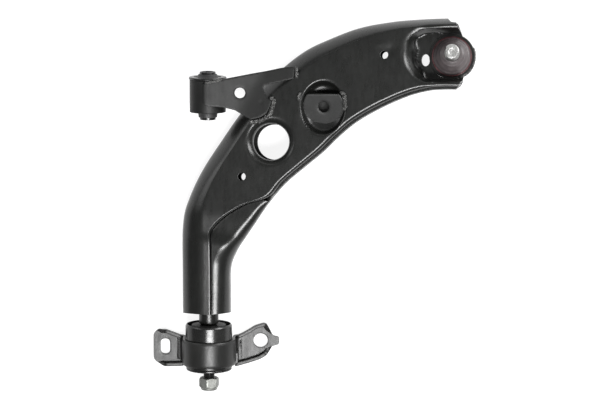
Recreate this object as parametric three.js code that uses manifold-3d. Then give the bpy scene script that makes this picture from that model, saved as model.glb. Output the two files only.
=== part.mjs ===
// Front lower control arm: a welded box of two nested pressings with a pinch-bolt ball joint,
// a horizontal front bush in a welded eye and a rear bush on a spindle, held by a bolt-on bracket.
// Millimetres, +Z up. +Y is the vehicle's forward direction, +X points outboard.
import * as THREE from 'three';
import { mergeVertices } from 'three/addons/utils/BufferGeometryUtils.js';
import Module from 'manifold-3d';

const wasm = await Module();
wasm.setup();

// ---- Driving dimensions --------------------------------------------------------------------
const GAP = 0.3;                 // between pieces that touch in the real part
const SHEET = 3;                 // both arm pressings
const NEST = SHEET + GAP;        // on the right the upper pressing stands this far inside the lower

// The bush axis is level apart from REST_PITCH, which stands the arm on its three low points.
const PLATE_PITCH = THREE.MathUtils.degToRad(8.5);   // the plate falls this much towards the front
const PLATE_LEAN = THREE.MathUtils.degToRad(7);      // and rises this much towards the ball joint
const REST_PITCH = THREE.MathUtils.degToRad(1.1);
const PLATE_ABOVE_AXIS = 56;     // plate level over the rear bush centre
const ORIGIN_SHIFT = new THREE.Vector3(-126.8, -174.6, 29.5);  // puts the base centre at the origin

const FLANGE_LOW = -22;          // the upper pressing's skirt ends here, below the plate level
const LIP_TOP = -12;             // the lower pressing's right lip ends here
const JOINT_DROP = 2;            // on the left the pressings butt this far below the half level
const NOSE_FLOOR = -27;          // the pocket floor round the ball joint

const BALL = { x: 294.5, v: 351.9, below: -39 };     // ball centre, in the plate's plan
const BALL_R = 12.5;
const STUD_R = 9;
const STUD_LEAN = THREE.MathUtils.degToRad(4.9);     // as the free stud lies, towards the front
const STUD_TURN = THREE.MathUtils.degToRad(39);      // and this far outboard of straight ahead
const HOUSING_R = 21;
const NOSE_R = 27.5;
const BOOT_R = 22.7;

const FRONT_Y = 309;             // front bush centre on the bush axis, from the rear bush centre
const EYE_R = 21.9;
const EYE_HALF = 19.8;
const EYE_WALL = 3.4;
const FRONT_SLEEVE_R = 9.6;
const FRONT_BORE_R = 7.1;
const FRONT_SLEEVE_HALF = 29.2;

const CUP_R = 28.6;
const CUP_FRONT = 28.4;
const CUP_REAR = -25.5;
const SPINDLE_R = 11.9;
const SHAFT_R = 9.5;
const THREAD_R = 6.9;
const NUT_FLATS = 22;
const NUT_LENGTH = 15.5;
const NUT_TOP = -38.4;           // the loose nut's inner face; it runs up 6.6 mm to the washer

const STRAP_WALL = 4;
const STRAP_R = CUP_R + GAP + STRAP_WALL;
const STRAP_FRONT = 9.8;
const STRAP_REAR = -22;
const EAR_LEVEL = -24.4;         // top of the ears, below the bush axis
const EAR_SHEET = 4;

// ---- Solids --------------------------------------------------------------------------------
// Turns every triangle over if the closed surface faces inwards.
function outward(geometry) {
  const p = geometry.attributes.position;
  const idx = geometry.index.array;
  const a = new THREE.Vector3();
  const b = new THREE.Vector3();
  const c = new THREE.Vector3();
  let volume = 0;
  for (let i = 0; i < idx.length; i += 3) {
    a.fromBufferAttribute(p, idx[i]);
    b.fromBufferAttribute(p, idx[i + 1]);
    c.fromBufferAttribute(p, idx[i + 2]);
    volume += a.dot(b.cross(c));
  }
  if (volume < 0) {
    for (let i = 0; i < idx.length; i += 3) {
      [idx[i + 1], idx[i + 2]] = [idx[i + 2], idx[i + 1]];
    }
  }
  return geometry;
}

function solid(geometry) {
  const g = geometry.clone();
  g.deleteAttribute('normal');
  g.deleteAttribute('uv');
  const m = outward(mergeVertices(g, 1e-4));
  return new wasm.Manifold(new wasm.Mesh({
    numProp: 3,
    vertProperties: new Float32Array(m.attributes.position.array),
    triVerts: new Uint32Array(m.index.array),
  }));
}

function geometryOf(manifold) {
  const mesh = manifold.getMesh();
  const g = new THREE.BufferGeometry();
  g.setAttribute('position', new THREE.BufferAttribute(new Float32Array(mesh.vertProperties), 3));
  g.setIndex(new THREE.BufferAttribute(new Uint32Array(mesh.triVerts), 1));
  g.computeVertexNormals();
  return g;
}

// A turned piece: profile points are [radius, height] and close on themselves or on the axis.
function turned(profile, sides = 28) {
  const points = profile.map(([r, z]) => new THREE.Vector2(r, z));
  points.push(points[0].clone());
  return new THREE.LatheGeometry(points, sides).rotateX(Math.PI / 2);
}

function ring(outer, inner, low, high, sides = 28) {
  return turned([[inner, low], [outer, low], [outer, high], [inner, high]], sides);
}

function rod(radius, low, high, sides = 28) {
  return new THREE.CylinderGeometry(radius, radius, high - low, sides)
    .rotateX(Math.PI / 2)
    .translate(0, 0, (low + high) / 2);
}

function prism(shape, low, high, curveSegments = 8) {
  return new THREE.ExtrudeGeometry(shape, { depth: high - low, bevelEnabled: false, curveSegments })
    .translate(0, 0, low);
}

function polygon(points) {
  return new THREE.Shape(points.map(([x, y]) => new THREE.Vector2(x, y)));
}

// Scales a prism's plan by 1 at its top to 'foot' at its bottom, about (x, y).
function tapered(geometry, x, y, low, high, foot) {
  const p = geometry.attributes.position;
  for (let i = 0; i < p.count; i += 1) {
    const k = THREE.MathUtils.lerp(foot, 1, (p.getZ(i) - low) / (high - low));
    p.setXY(i, x + (p.getX(i) - x) * k, y + (p.getY(i) - y) * k);
  }
  return geometry;
}

// ---- Frames --------------------------------------------------------------------------------
// rest: the whole arm. axis: x, y, z about the rear bush centre, y along the bush axis.
// plate: x, v in the plate's plan and height above the plate.
const rest = new THREE.Group();
rest.rotation.x = -REST_PITCH;
rest.position.copy(ORIGIN_SHIFT);
const axis = new THREE.Group();
const pitched = new THREE.Group();
pitched.rotation.x = -PLATE_PITCH;
const plate = new THREE.Group();
plate.rotation.y = -PLATE_LEAN;
plate.position.z = PLATE_ABOVE_AXIS;
pitched.add(plate);
rest.add(axis, pitched);

// A point drawn in the plan square to the bush axis, moved into the leaning plate's own plan.
function lean(x, below) {
  return (x + below * Math.sin(PLATE_LEAN)) / Math.cos(PLATE_LEAN);
}

// The bush axis in the plate's own plan and height, at distance y from the rear bush centre.
function axisInPlate(y) {
  const v = y * Math.cos(PLATE_PITCH);
  const w = y * Math.sin(PLATE_PITCH) - PLATE_ABOVE_AXIS;
  return new THREE.Vector3(w * Math.sin(PLATE_LEAN), v, w * Math.cos(PLATE_LEAN));
}

// Turns a z-up turned piece onto the bush axis.
function alongAxis(geometry) {
  return geometry.rotateX(-Math.PI / 2);
}

const paints = {
  arm: [0x232624, 0.42, 0.2],
  bright: [0xb9babb, 0.32, 0.95],
  zinc: [0xc4c6c4, 0.35, 0.9],
  dark_steel: [0x3a3b3c, 0.45, 0.7],
  rubber: [0x1b1b1c, 0.8, 0],
  boot: [0x463f40, 0.6, 0],
  liner: [0xd9d4c4, 0.5, 0],
};

function add(group, name, geometry, paint) {
  const [color, roughness, metalness] = paints[paint];
  const material = new THREE.MeshStandardMaterial({ color, roughness, metalness });
  material.name = paint;
  const mesh = new THREE.Mesh(geometry, material);
  mesh.name = name;
  group.add(mesh);
}

// ---- Arm outline: stations from the tube end (first) to the ball joint (last) ---------------
// Each row: left edge x, v; right edge x, v; tube or plate top; half level; bottom;
// left bend, lower bend, right shoulder bend (widths in plan).
const STATIONS = [
  [-31.7, 41.5, 26.6, 42.0, -26.0, -50.0, -73.5, 30.3, 27.0, 21.0],
  [-31.7, 67.0, 26.6, 67.0, -21.5, -44.0, -66.0, 30.3, 27.0, 21.0],
  [-31.7, 100.0, 27.4, 98.0, -15.5, -37.0, -57.0, 30.3, 27.0, 20.0],
  [-31.7, 128.0, 35.0, 118.0, -10.0, -31.0, -50.0, 30.3, 25.0, 18.0],
  [-31.0, 146.0, 46.0, 135.0, -4.0, -27.0, -45.0, 29.3, 22.0, 15.0],
  [-28.7, 164.0, 57.5, 152.0, -0.5, -24.0, -41.0, 27.3, 18.0, 12.0],
  [-23.5, 180.0, 67.5, 167.0, 0.0, -22.5, -38.0, 24.3, 14.0, 9.0],
  [-15.0, 200.0, 78.0, 181.0, 0.0, -21.5, -36.0, 22.3, 11.0, 6.0],
  [-3.0, 222.0, 95.0, 200.0, 0.0, -20.5, -34.0, 21.3, 10.0, 5.0],
  [15.6, 250.0, 118.0, 219.5, 0.0, -20.0, -34.0, 20.3, 10.0, 5.0],
  [38.2, 282.4, 140.0, 237.5, 0.0, -20.0, -34.0, 19.3, 10.0, 5.0],
  [64.7, 313.5, 158.0, 255.0, 0.0, -20.0, -34.0, 19.3, 10.0, 5.0],
  [91.0, 339.0, 177.0, 271.0, 0.0, -20.0, -34.0, 20.3, 10.0, 5.0],
  [118.3, 359.5, 197.0, 283.5, 0.0, -20.0, -34.0, 20.3, 10.0, 5.0],
  [147.0, 373.2, 222.0, 296.0, 0.0, -20.0, -34.0, 19.3, 10.0, 5.0],
  [183.0, 386.5, 246.0, 305.5, 0.0, -20.0, -34.0, 16.3, 10.0, 5.0],
  [222.0, 393.6, 268.0, 310.7, 0.0, -20.0, -34.0, 12.3, 9.0, 5.0],
  [258.0, 396.5, 284.0, 311.8, 0.0, -20.0, -34.0, 10.3, 9.0, 5.0],
  [290.0, 397.5, 298.0, 311.8, 0.0, -20.0, -34.0, 9.3, 9.0, 5.0],
];
const LAST = STATIONS.length - 1;

// The upper pressing's right edge over the tube: the top seam, then the step across to the side.
const SEAM = [[3.7, 39.5], [3.7, 67.0], [3.7, 100.0], [3.4, 126.0], [3.5, 141.0], [18.0, 158.0],
  [43.0, 173.5]];
const STEP_END = SEAM.length;    // from this station on the edge follows the right side

function column(k) {
  return STATIONS.map((row) => row[k]);
}

function interpolate(values, t) {
  const n = values.length - 1;
  const f = THREE.MathUtils.clamp(t, 0, 1) * n;
  const i = Math.min(Math.floor(f), n - 1);
  const a = values[Math.max(i - 1, 0)];
  const b = values[i];
  const c = values[i + 1];
  const d = values[Math.min(i + 2, n)];
  const s = f - i;
  const m0 = (c - a) / 2;
  const m1 = (d - b) / 2;
  const s2 = s * s;
  const s3 = s2 * s;
  return (2 * s3 - 3 * s2 + 1) * b + (s3 - 2 * s2 + s) * m0 + (3 * s2 - 2 * s3) * c + (s3 - s2) * m1;
}

const TOP = column(4);
const HALF = column(5);
const BOTTOM = column(6);
const LEFT_BEND = column(7);
const LOW_BEND = column(8);
const SHOULDER = column(9);

function edgeCurve(points) {
  const xs = points.map((p) => p[0]);
  const vs = points.map((p) => p[1]);
  return (t) => new THREE.Vector2(interpolate(xs, t), interpolate(vs, t));
}

// Left and right edges in the plate's plan, at the level where each pressing is widest.
const leftEdge = edgeCurve(STATIONS.map((r) => [lean(r[0], r[5]), r[1]]));
const rightEdge = edgeCurve(STATIONS.map((r) => [lean(r[2], r[5]), r[3]]));

function insetPoint(curve, t, inset, side) {
  const e = 1e-3;
  const a = curve(Math.max(t - e, 0));
  const b = curve(Math.min(t + e, 1));
  const d = b.sub(a).normalize();
  const p = curve(t);
  return new THREE.Vector2(p.x + side * d.y * inset, p.y - side * d.x * inset);
}

const seamRun = edgeCurve(STATIONS.map((r, i) => {
  if (i < STEP_END) {
    return [lean(SEAM[i][0], r[4]), SEAM[i][1]];
  }
  return insetPoint(rightEdge, i / LAST, NEST, -1).toArray();
}));

function seamEdge(t) {
  return t < STEP_END / LAST ? seamRun(t) : insetPoint(rightEdge, t, NEST, -1);
}

// One pressing: a sheet lofted over the stations. At each station it runs from edge A, round a
// bend, over a flat and round a bend to edge B. 'up' is 1 for skirts that hang, -1 for lips that
// stand. With 'start', the lips stand straight as far as that level. A plain cut edge B has no bend.
function pressing(spec) {
  const { bendSteps, flatSteps, stationSteps, from, to } = spec;
  const stand = spec.start ? 1 : 0;
  const across = stand + bendSteps + flatSteps + (spec.cutB ? 0 : bendSteps + stand);
  const g = new THREE.BoxGeometry(1, 1, 1, stationSteps, across, 1);
  const p = g.attributes.position;
  for (let i = 0; i < p.count; i += 1) {
    const t = THREE.MathUtils.lerp(from, to, p.getX(i) + 0.5);
    const k = Math.round((0.5 - p.getY(i)) * across);
    const outer = (p.getZ(i) > 0) === (spec.up > 0);
    const inset = outer ? 0 : SHEET;
    const a = insetPoint(spec.edgeA, t, spec.insetA + inset, spec.sideA || 1);
    const b = insetPoint(spec.edgeB, t, spec.insetB + (spec.cutB ? 0 : inset), -1);
    const flat = interpolate(spec.flat, t) - spec.up * inset;
    const width = a.distanceTo(b);
    const bend = (sizes, room) => Math.min(Math.max(interpolate(sizes, t) - inset, 0.6), room);
    const bendB = spec.cutB ? 0 : bend(spec.bendB, width * 0.49);
    const bendA = bend(spec.bendA, (width - bendB) * 0.93);
    let along = 0;
    let z = flat;
    const startA = interpolate(spec.start || spec.endA, t);
    const startB = interpolate(spec.start || spec.endB || spec.endA, t);
    if (k < stand) {
      z = interpolate(spec.endA, t);
    } else if (k <= stand + bendSteps) {
      const q = ((k - stand) / bendSteps) * (Math.PI / 2);
      along = bendA * (1 - Math.cos(q) ** (2 / spec.roundA(t)));
      z = THREE.MathUtils.lerp(startA, flat, Math.sin(q) ** (2 / spec.roundA(t)));
    } else if (k <= stand + bendSteps + flatSteps) {
      const s = (k - stand - bendSteps) / flatSteps;
      along = THREE.MathUtils.lerp(bendA, width - bendB, s);
    } else if (k <= across - stand) {
      const q = ((across - stand - k) / bendSteps) * (Math.PI / 2);
      along = width - bendB * (1 - Math.cos(q));
      z = THREE.MathUtils.lerp(startB, flat, Math.sin(q));
    } else {
      along = width;
      z = interpolate(spec.endB, t);
    }
    const w = along / width;
    p.setXYZ(i, THREE.MathUtils.lerp(a.x, b.x, w), THREE.MathUtils.lerp(a.y, b.y, w), z);
  }
  return g;
}

function soften(t) {
  // 2 is a round bend, 1.3 nearly a flat slope.
  return THREE.MathUtils.lerp(2, 1.35, THREE.MathUtils.smoothstep(t * LAST, 4, 9));
}

// ---- Pockets and holes in the plate, in its own plan -----------------------------------------
const BIG_HOLE = { x: lean(76.2, -4), v: 249.6, r: 22, rim: 27.2, lowerX: lean(81.4, -34), lowerR: 21.2 };
const SMALL_HOLES = [[lean(41.2, 0), 207.6, 4.9], [lean(212.2, 0), 353.3, 4.9]];
const NOSE_HOLE = { x: lean(262.9, NOSE_FLOOR), v: 347.7, halfX: 5, halfV: 7.2 };
const BOWL = { x: lean(139, 0), v: 290, a: 26.5, b: 32.5, depth: 19 };
const BALL_X = lean(BALL.x, NOSE_FLOOR);

function circle(x, y, r) {
  return new THREE.Shape().absarc(x, y, r, 0, Math.PI * 2, false);
}

function ellipse(x, y, a, b) {
  return new THREE.Shape().absellipse(x, y, a, b, 0, Math.PI * 2, false, 0);
}

// The ball-joint pocket in plan: a round inner end that opens towards the nose.
function pocketShape(grow, reach) {
  const r = 34 + grow;
  const x = BALL_X - 24;
  const s = new THREE.Shape();
  s.moveTo(x + reach, BALL.v - r);
  s.lineTo(x + reach, BALL.v + r);
  s.lineTo(x, BALL.v + r);
  s.absellipse(x, BALL.v, r + 1, r, Math.PI / 2, Math.PI * 1.5, false, 0);
  s.closePath();
  return s;
}

const MESH = { bendSteps: 3, flatSteps: 3, stationSteps: 40 };

let upper = solid(pressing({
  ...MESH, from: 0, to: 1, up: 1,
  edgeA: leftEdge, insetA: 0, bendA: LEFT_BEND, endA: HALF.map((h) => h - JOINT_DROP), roundA: soften,
  edgeB: seamEdge, insetB: 0, bendB: STATIONS.map((r, i) => (i < STEP_END ? 2.5 : 5)),
  endB: TOP.map((h, i) => (i < 3 ? h - 5 : (i < STEP_END ? h - 9 : FLANGE_LOW))),
  flat: TOP,
}));

// Nose rims of the upper pressing: two short arms past the last station, either side of the pocket.
const noseRims = solid(prism(polygon([[BALL_X - 6, BALL.v - 36], [BALL_X + 4.6, BALL.v - 35.5],
  [BALL_X + 6.6, BALL.v - 30], [BALL_X + 6.6, BALL.v + 30], [BALL_X + 4.6, BALL.v + 37],
  [BALL_X - 12, BALL.v + 42]]), -SHEET, 0));
upper = upper.add(noseRims);

const pocketFoot = 0.84;
function pocketSolid(grow, low, high, reach) {
  return solid(tapered(prism(pocketShape(grow, reach), low, high, 10), BALL_X - 20, BALL.v, low, high,
    pocketFoot));
}
const pocketKeep = solid(prism(polygon([[BALL_X - 80, BALL.v - 60], [BALL_X - 4, BALL.v - 60],
  [BALL_X + 4.6, BALL.v - 36], [BALL_X + 10.6, BALL.v - 30], [BALL_X + 10.6, BALL.v + 30],
  [BALL_X + 4.6, BALL.v + 38], [BALL_X - 4, BALL.v + 60], [BALL_X - 80, BALL.v + 60]]), -60, 20));
const noseDisc = solid(rod(NOSE_R, NOSE_FLOOR - SHEET, NOSE_FLOOR, 36).translate(BALL_X, BALL.v, 0));
upper = upper
  .subtract(pocketSolid(0, NOSE_FLOOR, 0.5, 60))
  .add(pocketSolid(SHEET, NOSE_FLOOR - SHEET, -0.2, 36)
    .intersect(pocketKeep)
    .subtract(pocketSolid(0, NOSE_FLOOR, 0.5, 60)))
  .add(noseDisc);

function bowlSolid(grow, low) {
  const steps = 5;
  const profile = [];
  for (let i = 0; i <= steps; i += 1) {
    const q = (i / steps) * (Math.PI / 2);
    profile.push([Math.sin(q) ** 0.8, -Math.cos(q)]);
  }
  profile[0][0] = 0;
  profile.push([1, 0.05], [0, 0.05]);
  return solid(turned(profile, 28).scale(BOWL.a + grow, BOWL.b + grow, BOWL.depth + low)
    .translate(BOWL.x, BOWL.v, 0));
}
upper = upper
  .add(bowlSolid(SHEET, SHEET).intersect(solid(rod(60, -40, -0.1, 12).translate(BOWL.x, BOWL.v, 0))))
  .subtract(bowlSolid(0, 0));

const bigRim = solid(turned([[BIG_HOLE.rim + 1.5, 0], [BIG_HOLE.rim - 1, -0.6], [BIG_HOLE.r + 2, -2.5],
  [BIG_HOLE.r, -6], [BIG_HOLE.r, -10], [BIG_HOLE.r + 2.6, -10], [BIG_HOLE.r + 3.2, -7],
  [BIG_HOLE.rim + 1.5, -SHEET]], 32).translate(BIG_HOLE.x, BIG_HOLE.v, 0));
upper = upper
  .subtract(solid(rod(BIG_HOLE.rim, -12, 2, 32).translate(BIG_HOLE.x, BIG_HOLE.v, 0)))
  .add(bigRim);

let lower = solid(pressing({
  ...MESH, from: 0, to: 1, up: -1,
  edgeA: leftEdge, insetA: 0, bendA: LOW_BEND,
  endA: HALF.map((h) => h - JOINT_DROP - GAP), roundA: () => 2,
  edgeB: rightEdge, insetB: 0, bendB: LOW_BEND,
  endB: HALF.map((h, i) => (i < 7 ? h + 1.5 : LIP_TOP)),
  start: HALF.map((h, i) => (i < 8 ? h - 5 : FLANGE_LOW - 1)),
  flat: BOTTOM,
}));

// The lower pressing wraps up and over the right of the tube to the seam and under the step.
const SEAM_GAP = 0.7;
const WRAP_STEPS = 15;           // of the tray's own steps, so that both follow one outline
const wrapTop = TOP.map((h, i) => Math.min(h, i < 4 ? h : -12.5));
lower = lower.add(solid(pressing({
  bendSteps: 3, flatSteps: 2, stationSteps: WRAP_STEPS, from: 0, to: WRAP_STEPS / MESH.stationSteps,
  up: 1, cutB: true, sideA: -1,
  edgeA: rightEdge, insetA: 0.5, bendA: SHOULDER, endA: HALF.map((h) => h - 3),
  roundA: () => 2, edgeB: seamEdge, insetB: -SEAM_GAP, flat: wrapTop,
})));

// Nose of the lower pressing: a round pad under the pocket floor.
const LOWER_FLOOR = NOSE_FLOOR - SHEET - GAP;
lower = lower.add(solid(rod(NOSE_R, LOWER_FLOOR - SHEET - 0.7, LOWER_FLOOR, 36)
  .translate(BALL_X, BALL.v, 0)));

// ---- Holes through both pressings ------------------------------------------------------------
const housingHole = solid(rod(HOUSING_R + GAP, -45, -10, 32).translate(BALL_X, BALL.v, 0));
upper = upper.subtract(housingHole);
lower = lower.subtract(housingHole)
  .subtract(solid(rod(BIG_HOLE.lowerR, -60, -14, 32).translate(BIG_HOLE.lowerX, BIG_HOLE.v, 0)));
for (const [x, v, r] of SMALL_HOLES) {
  const drill = solid(rod(r, -60, 10, 20).translate(x, v, 0));
  upper = upper.subtract(drill);
  lower = lower.subtract(drill);
}
const noseDrill = solid(prism(ellipse(NOSE_HOLE.x, NOSE_HOLE.v, NOSE_HOLE.halfX, NOSE_HOLE.halfV),
  -60, -10, 20));
upper = upper.subtract(noseDrill);
lower = lower.subtract(noseDrill);
add(plate, 'upper_shell', geometryOf(upper), 'arm');
add(plate, 'lower_shell', geometryOf(lower), 'arm');

// ---- Front bush in its welded eye, on the bush axis -------------------------------------------
function onAxis(name, profile, paint, y = 0, sides = 28) {
  add(axis, name, alongAxis(geometryOf(solid(turned(profile, sides)))).translate(0, y, 0), paint);
}

const eyeIn = EYE_R - EYE_WALL;
const sleeveIn = eyeIn - GAP - 1.8;
const flangeFace = EYE_HALF + 3.2;
onAxis('front_eye', [[eyeIn, -EYE_HALF], [EYE_R, -EYE_HALF], [EYE_R, EYE_HALF], [eyeIn, EYE_HALF]],
  'arm', FRONT_Y);
onAxis('front_bush_outer_sleeve', [[sleeveIn, -EYE_HALF], [eyeIn - GAP, -EYE_HALF],
  [eyeIn - GAP, EYE_HALF + GAP], [EYE_R + 0.9, EYE_HALF + GAP], [EYE_R + 0.9, flangeFace],
  [sleeveIn, flangeFace]], 'dark_steel', FRONT_Y);
const rubberIn = FRONT_SLEEVE_R + GAP;
onAxis('front_bush_rubber', [[rubberIn, -EYE_HALF - 6.5], [rubberIn + 1.3, -EYE_HALF - 6.5],
  [rubberIn + 2, -EYE_HALF], [sleeveIn - GAP, -EYE_HALF + 1], [sleeveIn - GAP, flangeFace - 1],
  [rubberIn + 2.5, flangeFace + 1], [rubberIn + 1, flangeFace + 3.4], [rubberIn, flangeFace + 3.4]],
'rubber', FRONT_Y);
onAxis('front_bush_inner_sleeve', [[FRONT_BORE_R, -FRONT_SLEEVE_HALF],
  [FRONT_SLEEVE_R, -FRONT_SLEEVE_HALF], [FRONT_SLEEVE_R, FRONT_SLEEVE_HALF],
  [FRONT_BORE_R, FRONT_SLEEVE_HALF]], 'dark_steel', FRONT_Y);

// ---- Front bracket: a pressed plate from the eye's crown to the arm's plate ---------------------
const BRACKET_SHEET = 4;
const RAMP = THREE.MathUtils.degToRad(14);
const eyeCentre = axisInPlate(FRONT_Y);
function bracketLevel(x, v) {
  const a = axisInPlate(v / Math.cos(PLATE_PITCH));
  const r = EYE_R + GAP + 0.15;
  const across = x - a.x;
  if (across < r * Math.sin(RAMP)) {
    return a.z + Math.sqrt(Math.max(r * r - across * across, 0)) / Math.cos(PLATE_PITCH);
  }
  const ramp = a.z + r / Math.cos(RAMP) / Math.cos(PLATE_PITCH) - across * Math.tan(RAMP);
  return Math.max(GAP, ramp);
}
function bracketSheet(low, high) {
  const [x0, x1, v0, v1] = [-14, 116, 268, 346];
  const g = new THREE.BoxGeometry(x1 - x0, v1 - v0, 1, 24, 4, 1)
    .translate((x0 + x1) / 2, (v0 + v1) / 2, 0);
  const p = g.attributes.position;
  for (let i = 0; i < p.count; i += 1) {
    p.setZ(i, bracketLevel(p.getX(i), p.getY(i)) + (p.getZ(i) > 0 ? high : low));
  }
  return solid(g);
}
const bracketOutline = [[-3, 318.5], [-3, 293.5], [4, 291.6], [21, 290.4], [34.6, 287], [42, 282.3],
  [53, 276], [64.7, 278.8], [72.5, 283.7], [77, 292.8], [78.5, 299], [72.5, 302.5], [66.5, 316.3],
  [105.5, 325.2], [106.5, 339.9], [91.5, 338.3], [23, 324.6]];
const bracket = bracketSheet(0, BRACKET_SHEET)
  .intersect(solid(prism(polygon(bracketOutline), -30, 60)))
  .subtract(solid(rod(6.1, -30, 60, 20).translate(40.5, 308, 0)));
add(plate, 'front_bracket', geometryOf(bracket), 'arm');

// ---- Stabiliser link plate, sloping down into the bowl ------------------------------------------
const LINK = { width: 50, v0: 306.5, v1: 262, fall: 0.42, sheet: 3.5, holeV: 291, holeR: 6.1 };
const linkSlope = Math.atan(LINK.fall);
const linkPlate = solid(new THREE.BoxGeometry(LINK.width, (LINK.v0 - LINK.v1) / Math.cos(linkSlope),
  LINK.sheet).rotateX(linkSlope).translate(BOWL.x, (LINK.v0 + LINK.v1) / 2,
  -4 - (LINK.v0 - LINK.v1) * LINK.fall / 2))
  .intersect(bowlSolid(-0.6, -0.6))
  .subtract(solid(rod(LINK.holeR, -40, 20, 24).translate(BOWL.x, LINK.holeV, 0)));
add(plate, 'link_plate', geometryOf(linkPlate), 'arm');

// ---- Weld beads ---------------------------------------------------------------------------------
function bead(name, points, r) {
  const curve = new THREE.CatmullRomCurve3(points.map((q) => new THREE.Vector3(...q)));
  const section = new THREE.Shape().absarc(0, 0, r, 0, Math.PI * 2, false);
  const g = new THREE.ExtrudeGeometry(section, {
    extrudePath: curve, steps: points.length * 2, curveSegments: 2, bevelEnabled: false,
  });
  add(plate, name, geometryOf(solid(g)), 'arm');
}
bead('bracket_weld_seam', [[50, 272.6, 2.3], [58, 273.2, 2.3], [66.5, 275.6, 2.3], [75.5, 281, 2.3],
  [79.9, 291, 2.3], [81.6, 299, 2.3], [77, 303.6, 2.3]], 1.9);
bead('bracket_weld_tip', [[108.6, 326, 2.1], [109, 333, 2.1], [109.3, 339, 2.1]], 1.7);
bead('link_weld_left', [[111.5, 298, 1.6], [111.3, 304, 1.6], [114, 309, 1.6]], 1.2);
bead('link_weld_right', [[166, 288, 1.9], [166.6, 296, 1.9], [165.5, 304, 1.9], [161.5, 309.5, 1.9]], 1.6);

// ---- Ball joint -----------------------------------------------------------------------------------
function atBall(geometry) {
  return geometry.translate(BALL_X, BALL.v, 0);
}

// Tips a piece about the ball's centre, as the free stud lies; 'share' says how much at height z.
function tipped(geometry, share = () => 1) {
  geometry.rotateZ(STUD_TURN);
  const p = geometry.attributes.position;
  for (let i = 0; i < p.count; i += 1) {
    const q = STUD_LEAN * share(p.getZ(i));
    const y = p.getY(i);
    const z = p.getZ(i) - BALL.below;
    p.setY(i, y * Math.cos(q) + z * Math.sin(q));
    p.setZ(i, z * Math.cos(q) - y * Math.sin(q) + BALL.below);
  }
  return geometry.rotateZ(-STUD_TURN);
}

function ballPiece(name, profile, paint, sides = 28) {
  add(plate, name, atBall(geometryOf(solid(turned(profile, sides)))), paint);
}

const PAD_UNDER = LOWER_FLOOR - SHEET - 0.7;
const HOUSING_TOP = NOSE_FLOOR + 3;
const HOUSING_FOOT = -58.4;
ballPiece('ball_joint_housing', [[16.4, HOUSING_TOP], [HOUSING_R, HOUSING_TOP],
  [HOUSING_R, PAD_UNDER - GAP], [25.5, PAD_UNDER - GAP], [25.5, PAD_UNDER - 4], [20.4, PAD_UNDER - 5],
  [20, HOUSING_FOOT], [17.4, HOUSING_FOOT], [17.4, HOUSING_FOOT + 3.2], [15.7, HOUSING_FOOT + 3.2],
  [15.7, -33.5], [13.2, -31.5]], 'dark_steel', 32);
ballPiece('housing_cap', [[0, HOUSING_FOOT + 0.4], [17.1, HOUSING_FOOT + 0.4],
  [17.1, HOUSING_FOOT + 2.9], [0, HOUSING_FOOT + 2.9]], 'dark_steel');

const seatProfile = [[15.4, -34.2]];
for (let i = 0; i <= 8; i += 1) {
  const q = THREE.MathUtils.degToRad(THREE.MathUtils.lerp(22, -80, i / 8));
  seatProfile.push([(BALL_R + GAP) * Math.cos(q), BALL.below + (BALL_R + GAP) * Math.sin(q)]);
}
seatProfile.push([2.2, -54.4], [15.4, -54.4]);
ballPiece('ball_seat', seatProfile, 'liner');

const studProfile = [[0, BALL.below - 11.8], [4, BALL.below - 11.8]];
for (let i = 0; i <= 7; i += 1) {
  const q = THREE.MathUtils.degToRad(THREE.MathUtils.lerp(-60, 50, i / 7));
  studProfile.push([BALL_R * Math.cos(q), BALL.below + BALL_R * Math.sin(q)]);
}
const STUD_END = BALL.below + 58;
studProfile.push([7.4, BALL.below + 14], [7.4, -18], [STUD_R, -12], [STUD_R, STUD_END - 13],
  [STUD_R - 1.3, STUD_END - 11.5], [STUD_R - 1.3, STUD_END - 7.5], [STUD_R, STUD_END - 6],
  [STUD_R, STUD_END - 1], [STUD_R - 1, STUD_END], [0, STUD_END]);
const stud = solid(turned(studProfile))
  .subtract(solid(new THREE.BoxGeometry(6, 40, 9).translate(-STUD_R - 0.6, 0, STUD_END - 9.5)));
add(plate, 'ball_stud', atBall(tipped(geometryOf(stud))), 'bright');

function bootShare(z) {
  return THREE.MathUtils.smoothstep(z, HOUSING_TOP, -6);
}
const boot = solid(turned([[HOUSING_R + GAP, NOSE_FLOOR + 0.5], [BOOT_R, NOSE_FLOOR + 0.5],
  [BOOT_R, -23], [20.6, -18.5], [16.4, -11.5], [12.2, -7.5], [10.9, -5.5], [10.9, -3.2],
  [STUD_R + GAP, -3.2], [STUD_R + GAP, -7], [13.6, -12], [17.8, -18.5], [HOUSING_R + GAP, -23]]));
add(plate, 'boot', atBall(tipped(geometryOf(boot), bootShare)), 'boot');
ballPiece('boot_lower_ring', [[BOOT_R + GAP, -25.9], [BOOT_R + 1.5, -25.9], [BOOT_R + 1.5, -24.1],
  [BOOT_R + GAP, -24.1]], 'bright');
add(plate, 'boot_upper_ring', atBall(tipped(geometryOf(solid(ring(12.4, 11.2, -5.2, -3.8))))), 'bright');

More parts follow.
